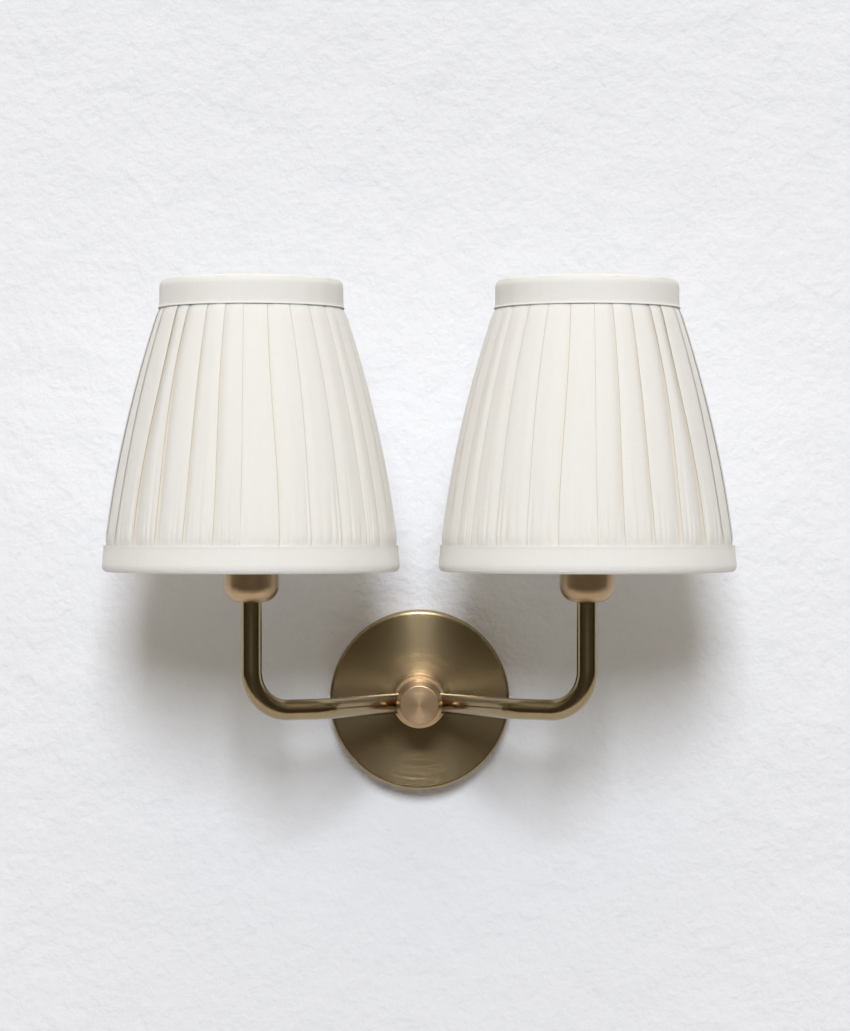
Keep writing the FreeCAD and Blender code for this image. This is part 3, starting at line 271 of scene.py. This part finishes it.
plaster = Finish("plaster", base_color=(0.81, 0.825, 0.86), roughness=0.9)
spread = plaster.noise(plaster.object_place(), 24.0, 3.0, 0.55)
grain = plaster.noise(plaster.object_place(), 170.0, 3.0, 0.6)
plaster.bump(spread * 3.0 + grain, PLASTER_RELIEF)

turn = np.linspace(0, 2 * np.pi, WALL_SPOKES, endpoint=False)
ring = np.geomspace(WALL_HOLE, WALL_REACH, WALL_RINGS)[:, None]
x, z = ring * np.cos(turn), ring * np.sin(turn)
wall_points = np.stack([x, np.full(x.shape, WALL_Y), z], axis=-1)
wall = sheet_mesh("wall", wall_points, around=True, inside_out=True)
wall.data.materials.append(plaster.material)

clear = plaster.add("ShaderNodeBsdfTransparent", {}, {})
back = plaster.add("ShaderNodeNewGeometry", {}, {}, "Backfacing")
front_or_clear = plaster.add("ShaderNodeMixShader", {}, {0: back, 2: clear})
output = plaster.tree.nodes["Material Output"]
plaster.tree.links.new(plaster.surface.outputs[0], front_or_clear.socket.node.inputs[1])
plaster.tree.links.new(front_or_clear.socket, output.inputs["Surface"])
print("wall reaches", WALL_REACH, "m each way")

# %% Floor
FLOOR_Z = -1.4
FLOOR_DEPTH = 1.3
FLOOR_RELIEF = 0.0004

floor_finish = Finish("floor_paint", base_color=(0.75, 0.75, 0.74), roughness=0.8)
floor_finish.bump(floor_finish.noise(floor_finish.object_place(), 60.0), FLOOR_RELIEF)
across = np.linspace(-WALL_REACH, WALL_REACH, 9)
floor_points = np.stack(np.meshgrid(across, [-FLOOR_DEPTH, 0.0], [FLOOR_Z]), axis=-1)[:, :, 0]
floor = sheet_mesh("floor", floor_points)
floor.data.materials.append(floor_finish.material)
print("floor", -FLOOR_Z, "m below the hub")

# %% [markdown]
# ## The light
#
# One large soft lamp, high and in front, lights the wall evenly and puts a soft shadow on it under each
# shade. The room is bright overhead, and dim at eye level and to both sides. That is what the polished
# arms reflect: a bright line along the top, a dark band in the middle, and the pale floor and wall
# again along the bottom. The room's light is warm and the lamp's is cool, so the wall is neutral in full
# light and warm in the shadows.

# %% Room around the lamp
ROOM_BY_HEIGHT = ((-1.0, 0.135), (-0.6, 0.078), (-0.25, 0.06), (0.0, 0.072), (0.25, 0.19), (0.5, 0.275),
                  (0.8, 0.50), (1.0, 1.15))
ROOM_BY_SIDE = ((0.0, 1.8), (0.35, 1.3), (0.6, 1.2), (0.85, 0.9), (1.0, 0.5))
ROOM_TINT = (1.16, 1.0, 0.76)

world = bpy.data.worlds.new("room")
scene.world = world
room = Nodes(world)
direction_x, _, direction_z = room.parts_of(room.add("ShaderNodeTexCoord", {}, {}, "Generated"))
height_stops = [(0.5 + 0.5 * rise, [level * tint for tint in ROOM_TINT])
                for rise, level in ROOM_BY_HEIGHT]
side_stops = [(side, (level, level, level)) for side, level in ROOM_BY_SIDE]
by_height = room.add("ShaderNodeValToRGB", {"stops": height_stops}, {"Fac": direction_z * 0.5 + 0.5})
beside = direction_x.math("ABSOLUTE", direction_x)
by_side = room.add("ShaderNodeValToRGB", {"stops": side_stops}, {"Fac": beside})
background = room.tree.nodes["Background"]
room.plug(background.inputs["Color"], by_height)
room.plug(background.inputs["Strength"], by_side)
print("room", ROOM_BY_HEIGHT[3][1], "at eye level and", ROOM_BY_HEIGHT[-1][1], "overhead")


# %% Soft lamp above
LAMP_TINT = (0.90, 0.935, 1.0)


def soft_lamp(name, place, target, width, height, watts):
    """A rectangular lamp at a place, turned to face a target."""
    data = bpy.data.lights.new(name, "AREA")
    data.shape = "RECTANGLE"
    data.size = width
    data.size_y = height
    data.energy = watts
    data.color = LAMP_TINT
    lamp = bpy.data.objects.new(name, data)
    lamp.location = place
    aim = Vector(target) - Vector(place)
    lamp.rotation_euler = aim.to_track_quat("-Z", "Y").to_euler()
    scene.collection.objects.link(lamp)
    return lamp


soft_lamp("high_front", place=(0, -5.0, 2.45), target=(0, -0.1, 0.06),
          width=1.4, height=1.9, watts=243.0)
print("one soft lamp, high and in front")

# %% [markdown]
# ## Aged brass
#
# Every brass piece was turned or drawn, rubbed with fine abrasive and left to darken. Tool marks run
# round a turned piece. They are finer than a pixel, but they stretch its highlights: on the rose they
# give the bright fans above and below the hub. The marks are a noise of the distance from the piece's
# own axis. It tilts the normal across the marks, which a bump can't do for marks this fine. Darker
# patches of patina are a large, weak noise in the colour and the roughness.

# %% Patina that every brass piece shares
BRASS_DARK = (0.262, 0.203, 0.116)
BRASS_BRIGHT = (0.37, 0.290, 0.170)
HUB_DARK = (0.36, 0.247, 0.142)
HUB_BRIGHT = (0.48, 0.340, 0.205)
HOLDER_DARK = (0.39, 0.275, 0.162)
HOLDER_BRIGHT = (0.52, 0.375, 0.228)
MARKS_PER_METRE = 40000.0


def aged_brass(name, marks, depth, smooth, dull, tones=(BRASS_DARK, BRASS_BRIGHT)):
    """Brass with patina, rougher where it is darker.

    marks gives the distance and the direction that the tool marks follow. depth is how far they tilt
    the normal. smooth and dull are the least and the most roughness."""
    finish = Finish(name, metallic=1.0)
    place = finish.object_place()
    patches = finish.noise(place, 38.0, 4.0, 0.6)
    specks = finish.noise(place, 900.0, 2.0, 0.7)
    tone = (patches * 1.6 - 0.3).clamped()
    distance, along, around = marks(finish)
    lathe = finish.vector(distance * MARKS_PER_METRE, along * MARKS_PER_METRE, 0.0)
    grooves = finish.noise(lathe, 1.0, 2.0, 0.6)
    wear = (tone * 0.8 + grooves * 0.2).clamped()
    finish.set(base_color=finish.mix(wear, *tones))
    finish.set(roughness=(1 - tone) * (dull - smooth) + smooth + specks * 0.03)
    finish.tilt(around, (grooves - 0.5) * depth)
    return finish.material


# %% Marks round the hub's axis and round a lamp's axis
LAMP_X = 0.088
LAMP_Y = -0.119


def round_hub(finish):
    """Distance from the line that stands out from the wall, place along it, and the way round it."""
    x, y, z = finish.parts_of(finish.object_place())
    return (x * x + z * z).root(), y, finish.vector(z * -1, 0.0, x)


def round_lamp(side):
    """The same for marks that run round one lamp's upright axis."""
    def marks(finish):
        x, y, z = finish.parts_of(finish.object_place())
        from_x, from_y = x - side * LAMP_X, y - LAMP_Y
        distance = (from_x * from_x + from_y * from_y).root()
        return distance, z, finish.vector(from_y * -1, from_x, 0.0)
    return marks


# %% Rose, collar, hub and arms
SIDES = {"left": -1, "right": 1}


def dress(name, material):
    """Gives one solid its finish."""
    for slot in nodes[name].material_slots:
        slot.material = material


rose_brass = aged_brass("rose_brass", round_hub, depth=1.25, smooth=0.18, dull=0.25)
hub_brass = aged_brass("hub_brass", round_hub, depth=1.2, smooth=0.24, dull=0.32,
                       tones=(HUB_DARK, HUB_BRIGHT))
dress("wall_rose", rose_brass)
dress("hub_body", hub_brass)
dress("hub_collar", hub_brass)
for side, sign in SIDES.items():
    arm_brass = aged_brass(f"arm_brass_{side}", round_lamp(sign), depth=0.35, smooth=0.13, dull=0.19)
    dress(f"arm_{side}", arm_brass)
print("brass on the rose, the hub and the arms")

# %% Lampholders and ring nuts
lamp_brass = {}
for side, sign in SIDES.items():
    lamp_brass[side] = aged_brass(f"lamp_brass_{side}", round_lamp(sign), depth=1.1, smooth=0.30,
                                  dull=0.40, tones=(HOLDER_DARK, HOLDER_BRIGHT))
    for name in ("holder_base", "holder_skirt", "shade_nut"):
        dress(f"{name}_{side}", lamp_brass[side])
print("brass on each lampholder")

# %% [markdown]
# ## Cups
#
# The cup is a little spun bowl: its wall comes straight down from the rim and runs in one round sweep to
# the arm. A spun piece is one profile carried round an axis. This one goes up the outside, over the rim
# and down the inside, so that the metal has its thickness.

# %% Profile of a cup
CUP_LOW = 0.057
CUP_DEPTH = 0.017
CUP_RADIUS = 0.0145
CUP_ROUND = 0.009
CUP_WALL = 0.0012
CUP_HOLE = 0.0051
CUP_STEPS = 96
SHARP_EDGE = math.radians(35)


def cup_line(inset):
    """Radius and height of one side of the wall: a quarter circle between two short straight lines."""
    sweep = np.linspace(0, np.pi / 2, 14)
    bend = CUP_ROUND - inset
    middle = CUP_RADIUS - CUP_ROUND
    radius = np.concatenate([[CUP_HOLE], middle + bend * np.sin(sweep), [CUP_RADIUS - inset]])
    height = np.concatenate([[inset], CUP_ROUND - bend * np.cos(sweep), [CUP_DEPTH]])
    return radius, CUP_LOW + height


# %% Spin the cups
for side, sign in SIDES.items():
    outside, inside = cup_line(0.0), cup_line(CUP_WALL)
    radius, height = [np.concatenate([out, back[::-1]])[:, None] for out, back in zip(outside, inside)]
    turn = np.linspace(0, 2 * np.pi, CUP_STEPS, endpoint=False)[None, :]
    x, y = sign * LAMP_X + radius * np.cos(turn), LAMP_Y + radius * np.sin(turn)
    points = np.stack([x, y, np.broadcast_to(height, x.shape)], axis=-1)
    cup = sheet_mesh(f"bowl_{side}", points, True, True)
    cup.data.set_sharp_from_angle(angle=SHARP_EDGE)
    cup.data.materials.append(lamp_brass[side])
    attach(cup, "wall_frame")
    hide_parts(f"cup_{side}")
    print("cup", side, round(2000 * CUP_RADIUS), "mm across")

# %% [markdown]
# ## Steel, plastic, porcelain and glass
#
# The pieces behind the rose and inside the lampholders are plain: zinc plated steel with a cloudy
# spangle, matte moulded plastic, glazed porcelain, and opal white glass on a bright metal cap. Each
# finish is a short function of the place on the piece.

# %% Zinc plated steel
plated = Finish("zinc_plate", metallic=1.0)
cloud = plated.noise(plated.object_place(), 260.0, 3.0, 0.6)
plated.set(base_color=plated.mix(cloud, (0.50, 0.50, 0.49), (0.70, 0.70, 0.68)))
plated.set(roughness=cloud * 0.18 + 0.24)
plated.bump(plated.noise(plated.object_place(), 1800.0), 0.000006)
STEEL = ("wall_bracket", "rose_screws", "earth_screw", "earth_washer", "hub_nipple", "nipple_nut",
         "nipple_washer", "terminal_fixing_screw", "terminal_clamp_screws")
for name in STEEL:
    dress(name, plated.material)
print(len(STEEL), "steel pieces")


# %% Moulded plastic
def moulded(name, colour, darker):
    """Plastic with the fine even texture of a mould."""
    finish = Finish(name, roughness=0.5)
    tone = finish.noise(finish.object_place(), 120.0, 2.0)
    finish.set(base_color=finish.mix(tone, darker, colour))
    finish.bump(finish.noise(finish.object_place(), 2600.0, 2.0), 0.000012)
    return finish.material


dress("cable_bushing", moulded("bushing_plastic", (0.030, 0.030, 0.032), (0.018, 0.018, 0.02)))
dress("terminal_block", moulded("block_plastic", (0.80, 0.79, 0.74), (0.72, 0.70, 0.64)))
flex_plastic = moulded("flex_plastic", (0.66, 0.62, 0.52), (0.56, 0.52, 0.43))
for side in SIDES:
    dress(f"inner_flex_{side}", flex_plastic)
print("plastic on the bushing, the block and the flexes")

# %% Porcelain, contacts, cap and glass
porcelain = Finish("porcelain", roughness=0.12, coat_weight=0.6, coat_roughness=0.05)
glaze = porcelain.noise(porcelain.object_place(), 90.0, 2.0)
porcelain.set(base_color=porcelain.mix(glaze, (0.80, 0.78, 0.71), (0.88, 0.87, 0.82)))
porcelain.bump(glaze, 0.00005)

contact = Finish("contact_brass", metallic=1.0)
tarnish = contact.noise(contact.object_place(), 500.0, 3.0)
contact.set(base_color=contact.mix(tarnish, (0.62, 0.44, 0.18), (0.80, 0.63, 0.32)))
contact.set(roughness=tarnish * 0.15 + 0.18)

cap_metal = Finish("cap_metal", metallic=1.0)
polish = cap_metal.noise(cap_metal.object_place(), 300.0, 2.0)
cap_metal.set(base_color=cap_metal.mix(polish, (0.66, 0.66, 0.66), (0.80, 0.80, 0.79)))
cap_metal.set(roughness=polish * 0.14 + 0.22)
THREAD_PITCH = 0.0018
THREAD_DEPTH = 0.00018
_, _, height = cap_metal.parts_of(cap_metal.object_place())
cap_metal.bump((height * (2 * math.pi / THREAD_PITCH)).sine(), THREAD_DEPTH)

glass = Finish("bulb_glass", roughness=0.16, coat_weight=0.7, coat_roughness=0.06)
clouding = glass.noise(glass.object_place(), 40.0, 2.0)
glass.set(base_color=glass.mix(clouding, (0.87, 0.85, 0.80), (0.93, 0.915, 0.87)))
glass.bump(clouding, 0.0002)

for side in SIDES:
    dress(f"holder_insert_{side}", porcelain.material)
    dress(f"bulb_cap_{side}", cap_metal.material)
    dress(f"bulb_glass_{side}", glass.material)
    for name in ("screw_shell", "centre_contact", "bulb_contact"):
        dress(f"{name}_{side}", contact.material)
print("porcelain, contacts, caps and glass")

# %% White coated wire
wire = Finish("white_wire", roughness=0.38)
coat = wire.noise(wire.object_place(), 700.0, 2.0)
wire.set(base_color=wire.mix(coat, (0.74, 0.72, 0.66), (0.83, 0.81, 0.76)))
wire.bump(coat, 0.00003)
for side in SIDES:
    for name in ("shade_top_ring", "shade_bottom_ring", "shade_ribs", "shade_fitter"):
        dress(f"{name}_{side}", wire.material)
print("white wire in both shades")

# %% [markdown]
# ## The shape of a shade
#
# A shade bows out a little: its side lies outside the straight line from its bottom to its top. The same
# formula is used for the pleats, for the lining and for the bands, so that they fit each other and the
# wire frame inside.

# %% Outline of a shade
SHADE_LOW = 0.073
SHADE_HIGH = 0.226
SHADE_TALL = SHADE_HIGH - SHADE_LOW
BAND = 0.014
WIDE = 0.0783
NARROW = 0.0481
BOW = 0.0039
CLOTH_END = 0.0012


def outline(height):
    """Radius at a height: a straight taper, plus 4 * bow * s * (1 - s), which is widest halfway."""
    share = np.clip((height - SHADE_LOW) / (SHADE_HIGH - BAND - SHADE_LOW), 0, 1)
    return WIDE + (NARROW - WIDE) * share + 4 * BOW * share * (1 - share)


def at_lamp(x, y, height, sign):
    """Points about one lamp's axis. The right shade is the mirror image of the left one."""
    height = np.broadcast_to(height, np.shape(x))
    return np.stack([sign * (LAMP_X + x), LAMP_Y + y, height], axis=-1)


def area_of(points):
    """Area of a grid of points that is joined round, from the diagonals of its quads."""
    joined = np.concatenate([points, points[:, :1]], axis=1)
    one = joined[1:, 1:] - joined[:-1, :-1]
    two = joined[1:, :-1] - joined[:-1, 1:]
    return float(np.linalg.norm(np.cross(one, two), axis=-1).sum() / 2)


def clear_of_bands(height, ease):
    """0 under a band, 1 between the bands, and an even rise between the two over the ease."""
    past_band = np.minimum(height - SHADE_LOW - BAND, SHADE_HIGH - BAND - height)
    return np.clip(past_band / ease, 0, 1)


print("radius at mid height", round(float(outline(0.15)) * 1000, 1), "mm")

# %% [markdown]
# ## Pleats
#
# The cover is one long strip of cotton, pressed into knife pleats and sewn between two bands. Seen from
# above, each pleat runs along the face, tucks under the next pleat, and comes back to the next folded
# edge. The strip is as long at the top as at the bottom, so the tuck is deeper at the top, where the
# shade is narrow. The pleats differ in width and lean a little, and two of them stand open. Small
# gathers rise from the bottom band. A cloth simulation would lose the pressed edges. A formula keeps
# them.

# %% Where the folds lie
PLEATS = 28
UNEVEN = 0.22

count = np.arange(PLEATS)
widths = 1 + UNEVEN * (0.6 * np.sin(2.4 * count) + 0.4 * np.sin(5.3 * count))
folds = 2 * np.pi * np.concatenate([[0.0], np.cumsum(widths)]) / widths.sum()
print("widest pleat", round(float(np.diff(folds).max() * WIDE * 1000), 1), "mm at the bottom")

# %% One pleat's path
ACROSS = 46
ROWS = 60
FULLNESS = 1.22
STRIP = FULLNESS * 2 * np.pi * WIDE / PLEATS
STEEPER = 2.4


def pleat_path(along, tuck):
    """How far round and how deep the cloth is, in widths and depths of a pleat.

    The cloth goes in to one width plus the tuck, ever more steeply, turns, and comes straight back to
    one width."""
    turn_at = (1 + tuck) / (1 + 2 * tuck)
    going = along < turn_at
    back = (along - turn_at) / (1 - turn_at)
    across = np.where(going, (1 + tuck) * along / turn_at, 1 + tuck - tuck * back)
    depth = np.where(going, (along / turn_at) ** STEEPER, 1 - back)
    return across, depth


def smoothed(values):
    """Each value nears the mean of its neighbours round the shade."""
    return (np.roll(values, 1, axis=1) + 2 * values + np.roll(values, -1, axis=1)) / 4


# %% Small gathers above the bottom band
GATHERS = 6
GATHER_WIDTH = 0.035


def small_gathers(chance, across, above):
    """Narrow grooves in each pleat that fade out upwards, each at its own place, depth and length.

    A groove is exp(-distance / width) across, times (1 - height / length) squared up the shade. Widths
    are shares of a pleat, and lengths are in metres."""
    shape = (1, PLEATS, 1, GATHERS)
    place = (np.arange(GATHERS) + 0.15 + 0.7 * chance.random(shape)) / GATHERS
    power = chance.random(shape) ** 1.3
    length = 0.018 + 0.060 * chance.random(shape) ** 1.6
    near = np.exp(-np.abs(across[..., None] - place) / GATHER_WIDTH)
    fade = np.clip(1 - above[..., None] / length, 0, 1) ** 2
    return (near * power * fade).sum(axis=-1)


# %% The whole pleated cover
PLEAT_DEPTH = 0.0013
GATHER_DEPTH = 0.0014
PUFF = 0.0006
WAVE = 0.0001
UNDER_BAND = 0.0009
DEEPEST = 0.00135
LEAN = 0.16
DEEP_PLEATS = (9, 10)
DEEP = 1.7
FOLD_SHADE_SPAN = 0.12
PRESSED = 0.004


def pleated_cover(seed):
    """Points of the cover about its own axis, and a mask of painted shade in its creases.

    The radius is the outline, less the depth of the pleat and its gathers, plus a soft crown and a
    slight wave on its face. Under the bands the cloth is pressed flat. It never sinks below DEEPEST,
    where the lining is."""
    chance = np.random.default_rng(seed)
    height = np.linspace(SHADE_LOW + CLOTH_END, SHADE_HIGH - CLOTH_END, ROWS)[:, None, None]
    level = (height - SHADE_LOW) / SHADE_TALL
    radius = outline(height)
    free = clear_of_bands(height, PRESSED)
    pitch = 2 * np.pi * radius / PLEATS
    tuck = (STRIP / pitch - 1) / 2
    along = np.linspace(0, 1, ACROSS, endpoint=False)[None, None, :]
    across, depth = pleat_path(along, tuck)

    strength = 0.3 + 1.1 * chance.random(PLEATS)
    strength[list(DEEP_PLEATS)] = DEEP
    strength = strength[None, :, None]
    lean = LEAN * (chance.random((2, PLEATS + 1)) - 0.5)
    lean[:, -1] = lean[:, 0]
    climb = np.pi * level[:, :, 0]
    swing = lean[0] * np.sin(climb) + lean[1] * np.sin(2 * climb)
    edges = folds + swing * 2 * np.pi / PLEATS
    start, width = edges[:, :-1, None], np.diff(edges, axis=1)[:, :, None]
    angle = start + across * width

    middle = np.sin(np.pi * level) ** 0.7
    across = np.broadcast_to(across, angle.shape)
    gathers = small_gathers(chance, across, np.broadcast_to(height - SHADE_LOW - BAND, angle.shape))
    crown = np.sin(np.pi * np.clip(across, 0, 1)) * (0.6 + 0.8 * chance.random((1, PLEATS, 1)))
    phase = 2 * np.pi * chance.random((1, PLEATS, 1))
    wave = np.sin(2 * np.pi * 1.6 * across + phase) * middle

    sink = PLEAT_DEPTH * depth * strength * (0.35 + 0.65 * free)
    sink = sink + GATHER_DEPTH * gathers * free
    sink = sink - (PUFF * crown * (0.4 + 0.6 * middle) + WAVE * wave) * free
    sink = sink + UNDER_BAND * (1 - free)
    reach = radius - np.minimum(sink, DEEPEST)
    x, y = reach * np.cos(angle), -reach * np.sin(angle)
    # Painted shade: a warm tint along the strip before each folded edge and along the small gathers,
    # where shade falls in the creases.
    fold_shade = np.clip((across - 1 + FOLD_SHADE_SPAN) / FOLD_SHADE_SPAN, 0, 1) * strength * (0.3 + 0.7 * middle)
    crease = np.clip(fold_shade * 0.8 + gathers * 0.6, 0, 1) * free

    flat = (ROWS, PLEATS * ACROSS)
    tall = np.broadcast_to(height, x.shape).reshape(flat)
    return smoothed(x.reshape(flat)), smoothed(y.reshape(flat)), tall, crease.reshape(flat)


# %% Cloth with a weave
THREAD = 0.00045


def woven(name, pale, crease_shade_colour=None):
    """Plain weave on the piece's own UV map, in metres. The last colour, if given, is painted shade: a
    warm tint laid in the creases that the piece marks.
    """
    finish = Finish(name, roughness=0.85, sheen_weight=0.15, sheen_roughness=0.5)
    across, along, _ = finish.parts_of(finish.add("ShaderNodeUVMap", {"uv_map": "cloth"}, {}))
    warp = (across * (2 * math.pi / THREAD)).sine()
    weft = (along * (2 * math.pi / THREAD)).sine()
    slubs = finish.noise(finish.vector(across * 900.0, along * 60.0, 0.0), 1.0, 2.0)
    fibres = finish.noise(finish.vector(across * 90.0, along * 1400.0, 3.0), 1.0, 2.0)
    tone = slubs * 0.5 + fibres * 0.5
    colour = finish.mix((tone * 1.4 - 0.2).clamped(), tuple(0.95 * c for c in pale), pale)
    # Painted shade in the creases: the colour turns towards the warm tint where the crease mask is high.
    if crease_shade_colour:
        crease = finish.add("ShaderNodeAttribute", {"attribute_name": "crease"}, {}, "Fac")
        colour = finish.mix((crease * 0.55).clamped(), colour, crease_shade_colour)
    finish.set(base_color=colour)
    finish.bump(warp * weft * 0.5 + tone, 0.00007)
    return finish.material


# The third colour is the painted warm shade of the creases.
cover_cotton = woven("pleated_cotton", (0.83, 0.822, 0.788), (0.80, 0.73, 0.59))
lining_cotton = woven("lining_cotton", (0.81, 0.80, 0.76))
band_cotton = woven("band_cotton", (0.835, 0.827, 0.797))
print("three cottons, threads", THREAD * 1000, "mm apart")

# %% Sew the covers on
# The pleats run round from the inner side of each shade by the front, hence -x. The folded edges that
# show then face the middle of the lamp.
SEED = 7

x, y, height, crease = pleated_cover(SEED)
strip = np.linspace(0, STRIP * PLEATS, PLEATS * ACROSS + 1)
uv = np.stack(np.meshgrid(strip, height[:, 0]), axis=-1)
for side, sign in SIDES.items():
    points = at_lamp(-x, y, height, sign)
    cover = sheet_mesh(f"cover_{side}", points, around=True, uv=uv, inside_out=sign < 0)
    # The mask of painted crease shade goes on each cover as a point attribute.
    crease_shade_layer = cover.data.attributes.new("crease", "FLOAT", "POINT")
    crease_shade_layer.data.foreach_set("value", crease.ravel())
    cover.data.materials.append(cover_cotton)
    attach(cover, f"shade_{side}")
    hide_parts(f"shade_skin_{side}")
    print("cover", side, len(cover.data.polygons), "faces,", round(area_of(points), 4), "square metres")

# %% [markdown]
# ## Lining
#
# Inside, a smooth cotton lining hides the tucks of the pleats and lies just outside the wire ribs. It
# is the outline again, moved in, as a surface that faces the bulb.

# %% Line the shades
LINING_IN = 0.0015
LINING_UNDER_BAND = 0.0024
LINING_EASE = 0.003
LINING_ROWS = 40
LINING_STEPS = 160
LINING_CUT = (2 * np.pi * WIDE, SHADE_TALL)

height = np.linspace(SHADE_LOW + CLOTH_END, SHADE_HIGH - CLOTH_END, LINING_ROWS)[:, None]
turn = np.linspace(0, 2 * np.pi, LINING_STEPS, endpoint=False)[None, :]
free = clear_of_bands(height, LINING_EASE)
reach = outline(height) - LINING_IN * free - LINING_UNDER_BAND * (1 - free)
uv = np.stack(np.meshgrid(np.linspace(0, LINING_CUT[0], LINING_STEPS + 1), height[:, 0]), axis=-1)
for side, sign in SIDES.items():
    points = at_lamp(reach * np.cos(turn), -reach * np.sin(turn), height, sign)
    lining = sheet_mesh(f"lining_{side}", points, around=True, uv=uv, inside_out=sign < 0)
    lining.data.materials.append(lining_cotton)
    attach(lining, f"shade_{side}")
    print("lining", side, round(area_of(points), 4), "square metres")

# %% [markdown]
# ## Bands
#
# A strip of the same cotton, cut on the bias, is folded over each wire ring. Outside it is a smooth
# band, 14 to 15 mm high, that stands a little proud of the pleats. Over the wire it turns in a soft
# round fold and ends just inside. Its profile is a path of outside points, given a thickness by a second
# path inside it.

# %% Profile of a band
CLOTH = 0.0008
TURNED_IN = 0.0063
FOLD_RISE = 0.0046
TURN_END = 0.0056
SEWN_EDGE = {"top": 0.0152, "bottom": 0.0140}
LIP = 0.0004
LIP_FADE = 0.0015
SLOPE_STEP = 0.001


def folded_line(edge, way, sewn, inset):
    """Radius and height along one side of the folded strip, from its sewn edge to its end inside.

    The wall comes down to the fold, which is half an ellipse over the ring. The wall's slope fades out
    over the fold, as its share (1 + cos b) / 2, so that no crease shows where the two meet. The sewn
    edge stands out by a small lip that fades within a few millimetres."""
    start = edge + way * FOLD_RISE
    outer = outline(start) - inset
    inner = outline(edge) - TURNED_IN + inset
    slope = (outline(start + way * SLOPE_STEP) - outline(start)) / SLOPE_STEP
    climb = np.linspace(sewn, FOLD_RISE, 24)
    wall = outline(edge + way * climb) - inset + LIP * np.exp((climb - sewn) / LIP_FADE)
    bend = np.linspace(0, np.pi, 26)[1:]
    end = np.linspace(FOLD_RISE, TURN_END, 3)[1:]
    drop = FOLD_RISE - (FOLD_RISE - inset) * np.sin(bend)
    roll = (outer + inner) / 2 + (outer - inner) / 2 * np.cos(bend)
    roll = roll + slope * (drop - FOLD_RISE) * (1 + np.cos(bend)) / 2
    radius = np.concatenate([wall, roll, np.full(2, inner)])
    height = np.concatenate([climb, drop, end])
    return radius, edge + way * height


def band_profile(edge, way, sewn):
    """The closed outline of the folded strip: its outside, and its inside back again.

    way is 1 for the bottom band and -1 for the top one."""
    outside = folded_line(edge, way, sewn, 0.0)
    inside = folded_line(edge, way, sewn, CLOTH)
    return [np.concatenate([out, back[::-1]]) for out, back in zip(outside, inside)]


# %% Bind the shades
BANDS = {"top": (SHADE_HIGH, -1), "bottom": (SHADE_LOW, 1)}
BAND_STEPS = 192
SLOW_RIPPLE = 0.00012
FAST_RIPPLE = 0.00008

turn = np.linspace(0, 2 * np.pi, BAND_STEPS, endpoint=False)[None, :]
for side, sign in SIDES.items():
    for name, (edge, way) in BANDS.items():
        radius, height = band_profile(edge, way, SEWN_EDGE[name])
        ripple = SLOW_RIPPLE * np.sin(9 * turn + way) + FAST_RIPPLE * np.sin(23 * turn)
        reach = radius[:, None] + ripple
        points = at_lamp(reach * np.cos(turn), -reach * np.sin(turn), height[:, None], sign)
        lengths = np.hypot(np.diff(radius, append=radius[:1]), np.diff(height, append=height[:1]))
        path = np.concatenate([[0.0], np.cumsum(lengths)])
        round_band = np.linspace(0, 2 * np.pi * radius[0], BAND_STEPS + 1)
        uv = np.stack(np.meshgrid(round_band, path), axis=-1)
        band = sheet_mesh(f"band_{name}_{side}", points, True, True, uv, inside_out=sign * way < 0)
        band.data.materials.append(band_cotton)
        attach(band, f"shade_{side}")
        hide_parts(f"shade_{name}_band_{side}")
        strip = (2 * np.pi * radius[0], path[-1] / 2)
        print("band", name, side, round(strip[0] * 1000), "by", round(strip[1] * 1000), "mm")
